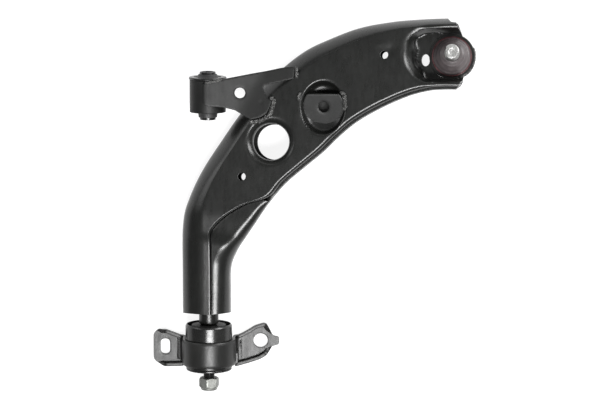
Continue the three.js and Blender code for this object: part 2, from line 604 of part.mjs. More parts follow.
// ---- Rear spindle and bush ---------------------------------------------------------------------
const SLEEVE_FRONT = 24.2;
const SLEEVE_REAR = -27.4;
const SLEEVE_R = 12.6;
const root = solid(rod(1, 46, 58).scale(21, 16, 1));
const spindle = solid(turned([[0, -54.2], [THREAD_R - 1, -54.2], [THREAD_R, -53], [THREAD_R, SLEEVE_REAR],
  [SHAFT_R, SLEEVE_REAR], [SHAFT_R, 27.8], [SPINDLE_R, 27.8], [SPINDLE_R, 74], [0, 74]]))
  .add(root);
add(axis, 'rear_spindle', alongAxis(geometryOf(spindle)), 'arm');
onAxis('rear_bush_front_washer', [[SHAFT_R + GAP, SLEEVE_FRONT + GAP], [21, SLEEVE_FRONT + GAP],
  [21, 27.5], [SHAFT_R + GAP, 27.5]], 'dark_steel');
onAxis('rear_bush_inner_sleeve', [[SHAFT_R + GAP, SLEEVE_REAR], [SLEEVE_R, SLEEVE_REAR],
  [SLEEVE_R, SLEEVE_FRONT], [SHAFT_R + GAP, SLEEVE_FRONT]], 'dark_steel');
onAxis('rear_bush_rubber', [[SLEEVE_R + GAP, -24.5], [20, -23], [CUP_R - 2.5, -24],
  [CUP_R - 2.5, 22], [21, 20.5], [SLEEVE_R + GAP, 23]], 'rubber');
onAxis('rear_bush_cup', [[CUP_R - 2.2, CUP_REAR], [CUP_R, CUP_REAR], [CUP_R, CUP_FRONT],
  [CUP_R - 2.2, CUP_FRONT]], 'dark_steel', 0, 32);
onAxis('rear_washer', [[THREAD_R + GAP, SLEEVE_REAR - GAP], [14, SLEEVE_REAR - GAP], [17, -26.6],
  [27.8, -26.1], [27.8, -28.4], [17.8, -29], [14.5, -31.5], [THREAD_R + GAP, -31.5]], 'dark_steel');

const hexR = NUT_FLATS / Math.sqrt(3);
const hexagon = polygon([0, 1, 2, 3, 4, 5].map((i) => {
  const q = (i + 0.3) * (Math.PI / 3);
  return [hexR * Math.cos(q), hexR * Math.sin(q)];
}));
const nutLow = NUT_TOP - NUT_LENGTH;
const nut = solid(prism(hexagon, nutLow, NUT_TOP))
  .intersect(solid(turned([[0, nutLow], [hexR - 1.8, nutLow], [hexR, nutLow + 1.6],
    [hexR, NUT_TOP - 1.6], [hexR - 1.8, NUT_TOP], [0, NUT_TOP]], 36)))
  .subtract(solid(rod(THREAD_R + GAP, nutLow - 1, NUT_TOP + 1, 32)));
add(axis, 'rear_nut', alongAxis(geometryOf(nut)), 'zinc');

// ---- Rear bracket: a strap over the bush with two flanged ears -----------------------------------
const strapShape = new THREE.Shape();
strapShape.moveTo(STRAP_R, EAR_LEVEL - EAR_SHEET);
strapShape.lineTo(STRAP_R, 0);
strapShape.absarc(0, 0, STRAP_R, 0, Math.PI, false);
strapShape.lineTo(-STRAP_R, EAR_LEVEL - EAR_SHEET);
strapShape.lineTo(-STRAP_R + STRAP_WALL, EAR_LEVEL - EAR_SHEET);
strapShape.lineTo(-STRAP_R + STRAP_WALL, 0);
strapShape.absarc(0, 0, STRAP_R - STRAP_WALL, Math.PI, 0, true);
strapShape.lineTo(STRAP_R - STRAP_WALL, EAR_LEVEL - EAR_SHEET);
strapShape.closePath();
const strap = solid(prism(strapShape, STRAP_REAR, STRAP_FRONT, 16).rotateX(Math.PI / 2)
  .scale(1, -1, 1));

const FLANGE_TOP = EAR_LEVEL + 11;
function ear(outline, inner) {
  return solid(prism(polygon(outline), EAR_LEVEL - EAR_SHEET, FLANGE_TOP))
    .subtract(solid(prism(polygon(inner), EAR_LEVEL, FLANGE_TOP + 5)));
}
const legIn = STRAP_R - 2;
const leftEar = ear(
  [[-legIn, 9], [-53.5, 17.5], [-63, 17], [-69, 11], [-69, -20], [-63, -26.5], [-56, -28.5], [-legIn, -28]],
  [[-legIn - 2, 4.6], [-53, 13.2], [-63, 13], [-64, 24], [-80, 24], [-80, -34], [-64, -34], [-62.5, -22.4],
    [-56, -24.4], [-legIn - 2, -24]],
).subtract(solid(prism(new THREE.Shape([...new THREE.Path().absarc(-54.4, -0.8, 5.8, 0, Math.PI, false)
  .getPoints(10), ...new THREE.Path().absarc(-54.4, -8.4, 5.8, Math.PI, Math.PI * 2, false)
  .getPoints(10)]), -60, 0)));
const rightEar = ear(
  [[legIn, 8.8], [40, 12.6], [48.7, 17.6], [56.4, 22.4], [70, 26.4], [78.1, 8.1], [86, 7], [86, -2.4],
    [78.1, -4.1], [75.4, -8.4], [70, -15], [61.7, -19.8], [45.5, -25], [legIn, -29]].reverse(),
  [[legIn + 2, 4.6], [41.5, 8.6], [50.5, 13.6], [58, 18.4], [69, 21.8], [74, 32], [96, 30], [96, -24],
    [74, -24], [67.8, -11.9], [60, -15.8], [44.5, -20.8], [legIn + 2, -24.6]].reverse(),
).subtract(solid(rod(8.8, -60, 0, 32).translate(63, 2.6, 0)));
add(axis, 'rear_bracket', geometryOf(strap.add(leftEar).add(rightEar)), 'arm');

export default rest;
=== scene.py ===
"""Looks of a pressed-steel front lower control arm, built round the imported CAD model.

Shapes are worked out in millimetres in the same frames as the CAD source and turned into metres
when a mesh is made. plate: x and v in the main plate's plan, z above it. axis: y along the bush
axis, from the rear bush centre.
"""
import math

import bmesh
import bpy
import numpy as np
from mathutils import Matrix, Vector, geometry, noise


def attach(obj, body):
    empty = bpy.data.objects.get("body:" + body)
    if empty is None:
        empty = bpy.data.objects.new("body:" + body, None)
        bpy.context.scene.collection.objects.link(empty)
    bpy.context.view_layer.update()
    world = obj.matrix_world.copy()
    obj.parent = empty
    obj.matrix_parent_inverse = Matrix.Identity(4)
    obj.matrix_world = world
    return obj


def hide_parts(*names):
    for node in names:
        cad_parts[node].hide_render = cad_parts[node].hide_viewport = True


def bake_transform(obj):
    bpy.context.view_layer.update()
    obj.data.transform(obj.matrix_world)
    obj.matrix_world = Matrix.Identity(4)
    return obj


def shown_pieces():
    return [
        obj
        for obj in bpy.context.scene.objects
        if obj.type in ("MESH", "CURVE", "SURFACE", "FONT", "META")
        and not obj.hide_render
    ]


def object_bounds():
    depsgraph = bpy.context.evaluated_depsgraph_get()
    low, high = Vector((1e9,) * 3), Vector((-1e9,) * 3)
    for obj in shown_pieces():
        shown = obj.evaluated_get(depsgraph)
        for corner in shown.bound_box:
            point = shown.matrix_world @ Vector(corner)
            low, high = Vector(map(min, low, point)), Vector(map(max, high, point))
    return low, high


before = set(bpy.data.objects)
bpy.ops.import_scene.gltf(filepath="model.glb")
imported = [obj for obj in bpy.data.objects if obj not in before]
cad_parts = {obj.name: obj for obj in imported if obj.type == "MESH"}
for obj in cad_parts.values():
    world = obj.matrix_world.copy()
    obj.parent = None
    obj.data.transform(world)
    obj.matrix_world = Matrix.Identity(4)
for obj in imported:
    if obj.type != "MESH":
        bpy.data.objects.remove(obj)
CAD_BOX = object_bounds()
MM = 0.001

# ---- Driving dimensions, as in the CAD source ----------------------------------------------------
GAP = 0.3
SHEET = 3.0
NEST = SHEET + GAP
PLATE_PITCH = math.radians(8.5)
PLATE_LEAN = math.radians(7)
REST_PITCH = math.radians(1.1)
PLATE_ABOVE_AXIS = 56.0
ORIGIN_SHIFT = (-126.8, -174.6, 29.5)
FLANGE_LOW = -22.0
LIP_TOP = -12.0
NOSE_FLOOR = -27.0
BALL_PLAN_X, BALL_V, BALL_LEVEL = 294.5, 351.9, -39.0
BALL_R = 12.5
STUD_R = 9.0
STUD_LEAN, STUD_TURN = math.radians(4.9), math.radians(39)
HOUSING_R = 21.0
NOSE_R = 27.5
BOOT_R = 22.7
FRONT_Y = 309.0
EYE_R, EYE_HALF, EYE_WALL = 21.9, 19.8, 3.4
FRONT_SLEEVE_R, FRONT_BORE_R, FRONT_SLEEVE_HALF = 9.6, 7.1, 29.2
CUP_R, CUP_FRONT, CUP_REAR = 28.6, 28.4, -25.5
SPINDLE_R, SHAFT_R, THREAD_R = 11.9, 9.5, 6.9
NUT_FLATS, NUT_LENGTH, NUT_TOP = 22.0, 15.5, -38.4
STRAP_WALL = 4.0
STRAP_R = CUP_R + GAP + STRAP_WALL
STRAP_FRONT, STRAP_REAR = 9.8, -22.0
EAR_LEVEL, EAR_SHEET = -24.4, 4.0

AXIS = Matrix.Translation(Vector(ORIGIN_SHIFT) * MM) @ Matrix.Rotation(-REST_PITCH, 4, "X")
PITCHED = AXIS @ Matrix.Rotation(-PLATE_PITCH, 4, "X")
PLATE = PITCHED @ Matrix.Translation((0, 0, PLATE_ABOVE_AXIS * MM)) @ Matrix.Rotation(-PLATE_LEAN, 4, "Y")


def lean(x, below):
    """A point drawn in the plan square to the bush axis, moved into the leaning plate's own plan."""
    return (x + below * math.sin(PLATE_LEAN)) / math.cos(PLATE_LEAN)


BALL_X = lean(BALL_PLAN_X, NOSE_FLOOR)
BALL_FRAME = PLATE @ Matrix.Translation(Vector((BALL_X, BALL_V, 0)) * MM)


def tip(lean_angle):
    """A turn about the ball's centre, the way the free stud lies."""
    turn = Matrix.Rotation(STUD_TURN, 4, "Z")
    centre = Matrix.Translation((0, 0, BALL_LEVEL * MM))
    return centre @ turn.inverted() @ Matrix.Rotation(-lean_angle, 4, "X") @ turn @ centre.inverted()


STUD_FRAME = BALL_FRAME @ tip(STUD_LEAN)


def along_axis(y=0.0):
    """Frame of a turned piece whose height runs along the bush axis."""
    return AXIS @ Matrix.Translation((0, y * MM, 0)) @ Matrix.Rotation(-math.pi / 2, 4, "X")


# ---- Materials -----------------------------------------------------------------------------------
class Paint:
    """A node material under construction."""

    def __init__(self, name, colour, roughness, metallic=0.0):
        self.material = bpy.data.materials.new(name)
        self.material.use_nodes = True
        self.tree = self.material.node_tree
        self.shader = self.tree.nodes["Principled BSDF"]
        self.set(self.shader, {"Metallic": metallic, "Roughness": roughness, "Base Color": (*colour, 1)})
        self.place = self.node("ShaderNodeTexCoord").outputs["Object"]
        self.height = None

    def set(self, node, values):
        for socket, value in values.items():
            node.inputs[socket].default_value = value

    def node(self, kind, values=None, **options):
        made = self.tree.nodes.new(kind)
        for key, value in options.items():
            setattr(made, key, value)
        self.set(made, values or {})
        return made

    def link(self, source, target):
        self.tree.links.new(source, target)

    def noise(self, size_mm, detail=3.0, rough=0.55, stretch=(1, 1, 1)):
        mapping = self.node("ShaderNodeMapping", {"Scale": stretch})
        self.link(self.place, mapping.inputs["Vector"])
        made = self.node("ShaderNodeTexNoise",
                         {"Scale": 1.0 / (size_mm * MM), "Detail": detail, "Roughness": rough})
        self.link(mapping.outputs[0], made.inputs["Vector"])
        return made.outputs["Fac"]

    def ramp(self, source, low, high, value_low, value_high):
        made = self.node("ShaderNodeMapRange",
                         {"From Min": low, "From Max": high, "To Min": value_low, "To Max": value_high})
        self.link(source, made.inputs["Value"])
        return made.outputs["Result"]

    def colours(self, source, stops):
        made = self.node("ShaderNodeValToRGB")
        elements = made.color_ramp.elements
        while len(elements) < len(stops):
            elements.new(0.5)
        for element, (place, colour) in zip(elements, stops):
            element.position = place
            element.color = (*colour, 1)
        self.link(source, made.inputs["Fac"])
        return made.outputs["Color"]

    def add_colours(self, factor, a, b):
        made = self.node("ShaderNodeMix", data_type="RGBA", blend_type="ADD")
        self.link(factor, made.inputs["Factor"])
        self.link(a, made.inputs["A"])
        self.link(b, made.inputs["B"])
        return made.outputs["Result"]

    def math(self, operation, a, b=0):
        made = self.node("ShaderNodeMath", operation=operation)
        for socket, value in zip(made.inputs, (a, b)):
            if isinstance(value, (int, float)):
                socket.default_value = value
            else:
                self.link(value, socket)
        return made.outputs[0]

    def bump(self, source, distance_mm):
        made = self.node("ShaderNodeBump", {"Distance": distance_mm * MM, "Strength": 1.0})
        self.link(source, made.inputs["Height"])
        if self.height:
            self.link(self.height, made.inputs["Normal"])
        self.height = made.outputs["Normal"]
        self.link(self.height, self.shader.inputs["Normal"])

    def base(self, source):
        self.link(source, self.shader.inputs["Base Color"])

    def rough(self, source):
        self.link(source, self.shader.inputs["Roughness"])


def coated(name, dark, light, rough_low, rough_high, peel=0.035, dust=0.0, gloss=0.36):
    """Dip-coated steel: a thin black film with orange peel, faint handling marks and dust."""
    p = Paint(name, dark, rough_low)
    p.set(p.shader, {"Specular IOR Level": gloss})
    broad = p.noise(42, 4)
    fine = p.noise(1.7, 3)
    marks = p.noise(5.5, 6, 0.72, (1, 0.25, 1))
    body = p.colours(broad, [(0.36, dark), (0.68, light)])
    if dust:
        specks = p.colours(p.noise(0.9, 2, 0.5), [(0.66, (0, 0, 0)), (0.74, (dust, dust, dust * 0.96))])
        grime = p.ramp(p.noise(19, 5, 0.6), 0.5, 0.72, 0, 1)
        body = p.add_colours(grime, body, specks)
    p.base(body)
    p.rough(p.ramp(marks, 0.3, 0.7, rough_low, rough_high))
    p.bump(p.noise(1.1, 2), peel)
    p.bump(fine, peel * 1.2)
    p.bump(p.noise(14, 2), 0.12)
    return p.material


def cast_weld(name):
    """Coated weld metal: spattered and rippled, with bright spots."""
    p = Paint(name, (0.03, 0.03, 0.03), 0.4, 0.25)
    spatter = p.noise(1.6, 5, 0.7)
    p.base(p.colours(spatter, [(0.35, (0.012, 0.012, 0.012)), (0.6, (0.05, 0.05, 0.048)),
                               (0.78, (0.2, 0.2, 0.19))]))
    p.rough(p.ramp(spatter, 0.3, 0.7, 0.5, 0.28))
    p.bump(spatter, 0.7)
    p.bump(p.noise(0.5, 2), 0.12)
    return p.material


def machined(name, colour, rough, pitch_mm, metallic=1.0, tint=(0.8, 0.8, 0.8)):
    """Bare or zinc-plated steel with fine turning marks round the piece's own height."""
    p = Paint(name, colour, rough, metallic)
    split = p.node("ShaderNodeSeparateXYZ")
    p.link(p.place, split.inputs[0])
    x, y, height = split.outputs
    radial = p.math("SQRT", p.math("ADD", p.math("MULTIPLY", x, x), p.math("MULTIPLY", y, y)))
    along = p.math("ADD", radial, height)
    rings = p.math("SINE", p.math("MULTIPLY", along, 2 * math.pi / (pitch_mm * MM)))
    stain = p.noise(4, 5, 0.6)
    p.base(p.colours(stain, [(0.3, tuple(c * t for c, t in zip(colour, tint))), (0.7, colour)]))
    p.rough(p.ramp(p.noise(1.2, 4), 0.3, 0.7, rough - 0.08, rough + 0.1))
    p.bump(rings, 0.012)
    p.bump(p.noise(0.6, 3), 0.05)
    return p.material


def rubbery(name, dark, light, rough):
    """Rubber, plastic or the clamp ring's dark red: mottled, with a fine grain and a faint waviness."""
    p = Paint(name, dark, rough)
    p.base(p.colours(p.noise(9, 4), [(0.35, dark), (0.7, light)]))
    p.rough(p.ramp(p.noise(2.5, 3), 0.3, 0.7, rough - 0.08, rough + 0.12))
    p.bump(p.noise(0.7, 3), 0.05)
    p.bump(p.noise(6, 2), 0.15)
    return p.material


ARM = coated("arm_coat", (0.0042, 0.0044, 0.0041), (0.0064, 0.0067, 0.0062), 0.25, 0.34, dust=0.03)
DULL = coated("dull_coat", (0.0046, 0.0048, 0.0046), (0.0068, 0.007, 0.0066), 0.42, 0.54,
              dust=0.02, gloss=0.2)
BRACKET = coated("bracket_coat", (0.0068, 0.0070, 0.0067), (0.0105, 0.0105, 0.01), 0.32, 0.44,
                 peel=0.03, dust=0.05, gloss=0.27)
DARK = coated("bush_coat", (0.005, 0.005, 0.005), (0.009, 0.009, 0.0085), 0.2, 0.3, peel=0.02)
THREAD = coated("thread_coat", (0.008, 0.008, 0.008), (0.014, 0.014, 0.013), 0.3, 0.45)
WELD = cast_weld("weld_coat")
STUD = machined("stud_steel", (0.46, 0.46, 0.45), 0.34, 0.35)
ZINC = machined("nut_zinc", (0.23, 0.235, 0.222), 0.46, 0.8, 0.8, (0.55, 0.55, 0.55))
RING = machined("ring_steel", (0.35, 0.33, 0.32), 0.35, 0.5)
RUBBER = rubbery("bush_rubber", (0.008, 0.008, 0.008), (0.016, 0.016, 0.016), 0.55)
BOOT = rubbery("boot_rubber", (0.038, 0.032, 0.033), (0.054, 0.045, 0.046), 0.42)
# the boot clamp ring is coloured an even dark red all round
CLAMP = rubbery("clamp_dark_red", (0.035, 0.006, 0.008), (0.06, 0.012, 0.014), 0.34)
LINER = rubbery("liner_plastic", (0.55, 0.52, 0.42), (0.68, 0.65, 0.55), 0.5)


# ---- Meshes --------------------------------------------------------------------------------------
MERGE_WITHIN = 2e-7
SHARP_ABOVE = math.radians(38)
SOFTEN_ABOVE = math.radians(50)


def put(name, verts, faces, place, material, body="arm", stands_for=(), slot=None):
    """A mesh piece from millimetre points in the frame 'place'."""
    mesh = bpy.data.meshes.new(name)
    mesh.from_pydata([tuple(float(c) * MM for c in v) for v in verts], [], faces)
    piece = bpy.data.objects.new(name, mesh)
    bpy.context.scene.collection.objects.link(piece)
    piece.matrix_world = place
    mesh.materials.append(material)
    smooth(piece)
    if body:
        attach(piece, body)
    if stands_for:
        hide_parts(*stands_for)
    return piece


def smooth(piece):
    """Cleans the mesh, faces it outwards and shades it smooth between its real edges."""
    mesh = piece.data
    work = bmesh.new()
    work.from_mesh(mesh)
    bmesh.ops.remove_doubles(work, verts=work.verts, dist=MERGE_WITHIN)
    bmesh.ops.delete(work, geom=[v for v in work.verts if not v.link_faces], context="VERTS")
    bmesh.ops.triangulate(work, faces=[f for f in work.faces if len(f.verts) > 4])
    bmesh.ops.recalc_face_normals(work, faces=work.faces)
    work.to_mesh(mesh)
    work.free()
    mesh.shade_smooth()
    mesh.set_sharp_from_angle(angle=SHARP_ABOVE)


def square_up(piece):
    """Gives the piece the row frame for its own, so that its box is its true one."""
    piece.data.transform(piece.matrix_world)
    piece.matrix_world = Matrix.Identity(4)


def bake(piece):
    """Applies the piece's modifiers."""
    bpy.context.view_layer.update()
    graph = bpy.context.evaluated_depsgraph_get()
    mesh = bpy.data.meshes.new_from_object(piece.evaluated_get(graph))
    piece.modifiers.clear()
    piece.data = mesh
    smooth(piece)


def cut(piece, cutters):
    """Cuts the piece with closed meshes that are then thrown away."""
    for cutter in cutters:
        step = piece.modifiers.new("cut", "BOOLEAN")
        step.operation = "DIFFERENCE"
        step.solver = "EXACT"
        step.object = cutter
    bake(piece)
    for cutter in cutters:
        bpy.data.objects.remove(cutter)


def soften_edges(piece, width):
    step = piece.modifiers.new("edge", "BEVEL")
    step.width = width * MM
    step.segments = 2
    step.limit_method = "ANGLE"
    step.angle_limit = SOFTEN_ABOVE
    bake(piece)


def grid_faces(rows, columns, round_rows=False, round_columns=False):
    """Four-sided faces between the rows of a grid of points, which may close on itself."""
    faces = []
    for i in range(rows if round_rows else rows - 1):
        for j in range(columns if round_columns else columns - 1):
            a, b = i * columns + j, i * columns + (j + 1) % columns
            c, d = ((i + 1) % rows) * columns + (j + 1) % columns, ((i + 1) % rows) * columns + j
            faces.append((a, b, c, d))
    return faces


def rounded(points, radius, steps=4, closed=True):
    """Rounds a flat outline's corners; a point may carry its own radius as a third number."""
    out = []
    n = len(points)
    for i, point in enumerate(points):
        here = Vector(point[:2])
        r = point[2] if len(point) > 2 else radius
        if r <= 0 or (not closed and i in (0, n - 1)):
            out.append(tuple(here))
            continue
        before, after = Vector(points[i - 1][:2]), Vector(points[(i + 1) % n][:2])
        u, w = before - here, after - here
        if u.length < 1e-6 or w.length < 1e-6:
            out.append(tuple(here))
            continue
        turn = u.angle(w)
        if turn > 3.1:
            out.append(tuple(here))
            continue
        reach = min(r / math.tan(turn / 2), u.length * 0.49, w.length * 0.49)
        a, b = here + u.normalized() * reach, here + w.normalized() * reach
        for k in range(steps + 1):
            s = k / steps
            out.append(tuple(a * (1 - s) ** 2 + here * (2 * s * (1 - s)) + b * s ** 2))
    return out


def lathe(name, profile, place, material, radius=0.5, sides=96, wobble=None, **rest):
    """A turned piece: profile points (r, z) run round a closed outline, or from axis to axis.

    wobble(r, turn) gives the radius that stands for r at that turn.
    """
    outline = rounded([p if p[0] > 0 else (0, p[1], 0) for p in profile], radius)
    verts = []
    for r, z in outline:
        for k in range(sides):
            q = 2 * math.pi * k / sides
            around = wobble(r, q) if wobble else r
            verts.append((around * math.cos(q), around * math.sin(q), z))
    faces = grid_faces(len(outline), sides, True, True)
    if profile[0][0] == 0 and profile[-1][0] == 0:
        faces = faces[:-sides]
    return put(name, verts, faces, place, material, **rest)


def prism(points, low, high, place):
    """A plain cutter from a flat outline."""
    n = len(points)
    verts = [(x, y, z) for z in (low, high) for x, y in points]
    faces = grid_faces(2, n, False, True) + [tuple(range(n))[::-1], tuple(range(n, 2 * n))]
    return put("cutter", verts, faces, place, ARM, body=None)


def cylinder(x, y, radius, low, high, sides=64, tall=None):
    """A round cutter in the plate's frame, or an upright oval one with 'tall' as its other radius."""
    turns = [2 * math.pi * k / sides for k in range(sides)]
    outline = [(x + radius * math.cos(q), y + (tall or radius) * math.sin(q)) for q in turns]
    return prism(outline, low, high, PLATE)


def resample(points, step):
    """Evenly spaced points round a closed outline."""
    loop = np.array([p[:2] for p in points] + [points[0][:2]], float)
    lengths = np.concatenate([[0], np.cumsum(np.linalg.norm(np.diff(loop, axis=0), axis=1))])
    count = max(8, int(lengths[-1] / step))
    s = np.linspace(0, lengths[-1], count, endpoint=False)
    return np.column_stack([np.interp(s, lengths, loop[:, k]) for k in (0, 1)])


def circle_points(x, y, r, step=1.0):
    count = max(24, int(2 * math.pi * r / step))
    q = np.arange(count) * (2 * math.pi / count)
    return np.column_stack([x + r * np.cos(q), y + r * np.sin(q)])


def fill(outline, hole, step):
    """Flat triangles inside an outline and round its hole, as (points, faces)."""
    loops = [outline, hole]
    verts, edges = [], []
    for loop in loops:
        base = len(verts)
        verts += [Vector(p) for p in loop]
        edges += [(base + k, base + (k + 1) % len(loop)) for k in range(len(loop))]
    low, high = loops[0].min(axis=0), loops[0].max(axis=0)
    border = np.concatenate(loops)
    for row, y in enumerate(np.arange(low[1], high[1], step * 0.866)):
        for x in np.arange(low[0] + ((row + 1) % 2) * step / 2, high[0], step):
            if np.min(np.hypot(border[:, 0] - x, border[:, 1] - y)) > step * 0.6:
                verts.append(Vector((x, y)))
    result = geometry.delaunay_2d_cdt(verts, edges, [], 0, 1e-5)
    points = np.array([tuple(v) for v in result[0]])
    faces = []
    for face in result[2]:
        centre = points[list(face)].mean(axis=0)
        if inside(centre, outline) and not inside(centre, hole):
            faces.append(tuple(face))
    return points, faces


def inside(point, loop):
    """Whether a flat point lies in a closed loop."""
    x, y = point
    a, b = loop, np.roll(loop, -1, axis=0)
    crosses = (a[:, 1] > y) != (b[:, 1] > y)
    rise = np.where(b[:, 1] == a[:, 1], 1e-12, b[:, 1] - a[:, 1])
    at = a[:, 0] + (y - a[:, 1]) / rise * (b[:, 0] - a[:, 0])
    return bool(np.count_nonzero(crosses & (x < at)) % 2)


def thicken(piece, thickness, edge, even=True):
    """Gives an open sheet its thickness, below its face, and rounds its edges."""
    step = piece.modifiers.new("thickness", "SOLIDIFY")
    step.thickness = thickness * MM
    step.offset = -1
    step.use_even_offset = even
    step.use_quality_normals = True
    bake(piece)
    soften_edges(piece, edge)


BEAD_STEP, BEAD_SIDES = 0.45, 20


def bead(name, path, section, lump, ripple, seed, place=PLATE, **rest):
    """A weld bead: a rounded ridge along a smooth path, with ripples and lumps."""
    line = smooth_path(path, BEAD_STEP)
    sides = BEAD_SIDES
    verts = []
    ahead = np.gradient(line, axis=0)
    ahead /= np.linalg.norm(ahead, axis=1)[:, None]
    length = np.concatenate([[0], np.cumsum(np.linalg.norm(np.diff(line, axis=0), axis=1))])
    for k, centre in enumerate(line):
        side = np.cross(ahead[k], (0, 0, 1))
        side /= np.linalg.norm(side)
        end = min(length[k], length[-1] - length[k])
        taper = math.sqrt(min(1.0, (end + 0.02) / section[0])) if end < section[0] else 1.0
        wave = 1 + 0.1 * abs(math.sin(math.pi * length[k] / ripple))
        for j in range(sides):
            q = 2 * math.pi * j / sides
            at = Vector(centre) * 0.55 + Vector((math.cos(q), math.sin(q), seed))
            swell = taper * wave * (1 + lump * noise.noise(at))
            offset = side * (section[0] * math.cos(q)) + np.array((0, 0, section[1] * math.sin(q)))
            verts.append(centre + offset * swell)
    faces = grid_faces(len(line), sides, False, True)
    faces += [tuple(range(sides))[::-1], tuple(range(len(verts) - sides, len(verts)))]
    put(name, verts, faces, place, WELD, **rest)


def smooth_path(points, step):
    """Points at an even step along a Catmull-Rom curve."""
    p = np.array(points, float)
    p = np.vstack([2 * p[0] - p[1], p, 2 * p[-1] - p[-2]])
    out = []
    for i in range(1, len(p) - 2):
        a, b, c, d = p[i - 1:i + 3]
        for s in np.linspace(0, 1, 24, endpoint=False):
            out.append(0.5 * (2 * b + (c - a) * s + (2 * a - 5 * b + 4 * c - d) * s ** 2
                              + (3 * b - a - 3 * c + d) * s ** 3))
    out.append(p[-2])
    out = np.array(out)
    length = np.concatenate([[0], np.cumsum(np.linalg.norm(np.diff(out, axis=0), axis=1))])
    s = np.linspace(0, length[-1], max(4, int(length[-1] / step)))
    return np.column_stack([np.interp(s, length, out[:, k]) for k in range(3)])


# ---- The two pressings ---------------------------------------------------------------------------
# Stations from the tube end to the ball joint, as in the CAD source: left edge x, v; right edge
# x, v; tube or plate top; half level; bottom; left bend, lower bend, right shoulder bend.
STATIONS = np.array([
    (-31.7, 41.5, 26.6, 42.0, -26.0, -50.0, -73.5, 30.3, 27.0, 21.0),
    (-31.7, 67.0, 26.6, 67.0, -21.5, -44.0, -66.0, 30.3, 27.0, 21.0),
    (-31.7, 100.0, 27.4, 98.0, -15.5, -37.0, -57.0, 30.3, 27.0, 20.0),
    (-31.7, 128.0, 35.0, 118.0, -10.0, -31.0, -50.0, 30.3, 25.0, 18.0),
    (-31.0, 146.0, 46.0, 135.0, -4.0, -27.0, -45.0, 29.3, 22.0, 15.0),
    (-28.7, 164.0, 57.5, 152.0, -0.5, -24.0, -41.0, 27.3, 18.0, 12.0),
    (-23.5, 180.0, 67.5, 167.0, 0.0, -22.5, -38.0, 24.3, 14.0, 9.0),
    (-15.0, 200.0, 78.0, 181.0, 0.0, -21.5, -36.0, 22.3, 11.0, 6.0),
    (-3.0, 222.0, 95.0, 200.0, 0.0, -20.5, -34.0, 21.3, 10.0, 5.0),
    (15.6, 250.0, 118.0, 219.5, 0.0, -20.0, -34.0, 20.3, 10.0, 5.0),
    (38.2, 282.4, 140.0, 237.5, 0.0, -20.0, -34.0, 19.3, 10.0, 5.0),
    (64.7, 313.5, 158.0, 255.0, 0.0, -20.0, -34.0, 19.3, 10.0, 5.0),
    (91.0, 339.0, 177.0, 271.0, 0.0, -20.0, -34.0, 20.3, 10.0, 5.0),
    (118.3, 359.5, 197.0, 283.5, 0.0, -20.0, -34.0, 20.3, 10.0, 5.0),
    (147.0, 373.2, 222.0, 296.0, 0.0, -20.0, -34.0, 19.3, 10.0, 5.0),
    (183.0, 386.5, 246.0, 305.5, 0.0, -20.0, -34.0, 16.3, 10.0, 5.0),
    (222.0, 393.6, 268.0, 310.7, 0.0, -20.0, -34.0, 12.3, 9.0, 5.0),
    (258.0, 396.5, 284.0, 311.8, 0.0, -20.0, -34.0, 10.3, 9.0, 5.0),
    (290.0, 397.5, 298.0, 311.8, 0.0, -20.0, -34.0, 9.3, 9.0, 5.0),
    (318.0, 397.5, 318.0, 311.8, 0.0, -20.0, -34.0, 9.3, 9.0, 5.0),
])
LAST = len(STATIONS) - 1
SEAM = np.array([(3.7, 39.5), (3.7, 67.0), (3.7, 100.0), (3.4, 126.0), (3.5, 141.0), (18.0, 158.0),
                 (43.0, 173.5)])
STEP_END = len(SEAM)
WRAP_END = 6.75
SEAM_GAP = 0.7


def along_stations(values, u):
    """Hermite interpolation of one value per station at the station numbers u."""
    values = np.asarray(values, float)
    i = np.clip(np.floor(u).astype(int), 0, LAST - 1)
    before, here = values[np.maximum(i - 1, 0)], values[i]
    there, after = values[i + 1], values[np.minimum(i + 2, LAST)]
    s = u - i
    m0, m1 = (there - before) / 2, (after - here) / 2
    return ((2 * s ** 3 - 3 * s ** 2 + 1) * here + (s ** 3 - 2 * s ** 2 + s) * m0
            + (3 * s ** 2 - 2 * s ** 3) * there + (s ** 3 - s ** 2) * m1)


def edge_curve(xs, vs):
    return lambda u: np.column_stack([along_stations(xs, u), along_stations(vs, u)])


TOP, HALF, BOTTOM, LEFT_BEND, LOW_BEND, SHOULDER = (STATIONS[:, k] for k in range(4, 10))
JOINT_DROP = 2.0
left_edge = edge_curve([lean(r[0], r[5]) for r in STATIONS], STATIONS[:, 1])
right_edge = edge_curve([lean(r[2], r[5]) for r in STATIONS], STATIONS[:, 3])


def inset_points(curve, u, inset, side):
    e = 0.02
    d = curve(np.minimum(u + e, LAST)) - curve(np.maximum(u - e, 0))
    d /= np.linalg.norm(d, axis=1)[:, None]
    return curve(u) + side * np.column_stack([d[:, 1], -d[:, 0]]) * inset


nested = inset_points(right_edge, np.arange(LAST + 1.0), NEST, -1)
seam_x = [lean(SEAM[i][0], STATIONS[i][4]) if i < STEP_END else nested[i][0] for i in range(LAST + 1)]
seam_v = [SEAM[i][1] if i < STEP_END else nested[i][1] for i in range(LAST + 1)]
seam_edge = edge_curve(seam_x, seam_v)


def quarter(values, width, low, high, power):
    """A bend: from (0, low) up to (width, high), as one superellipse quarter."""
    q = values * (math.pi / 2)
    along = width[:, None] * (1 - np.cos(q)[None, :] ** power[:, None])
    level = low[:, None] + (high - low)[:, None] * np.sin(q)[None, :] ** power[:, None]
    return along, level


def spaced(count):
    """Fractions 0 to 1, closer together at both ends."""
    return (1 - np.cos(np.linspace(0, math.pi, count))) / 2


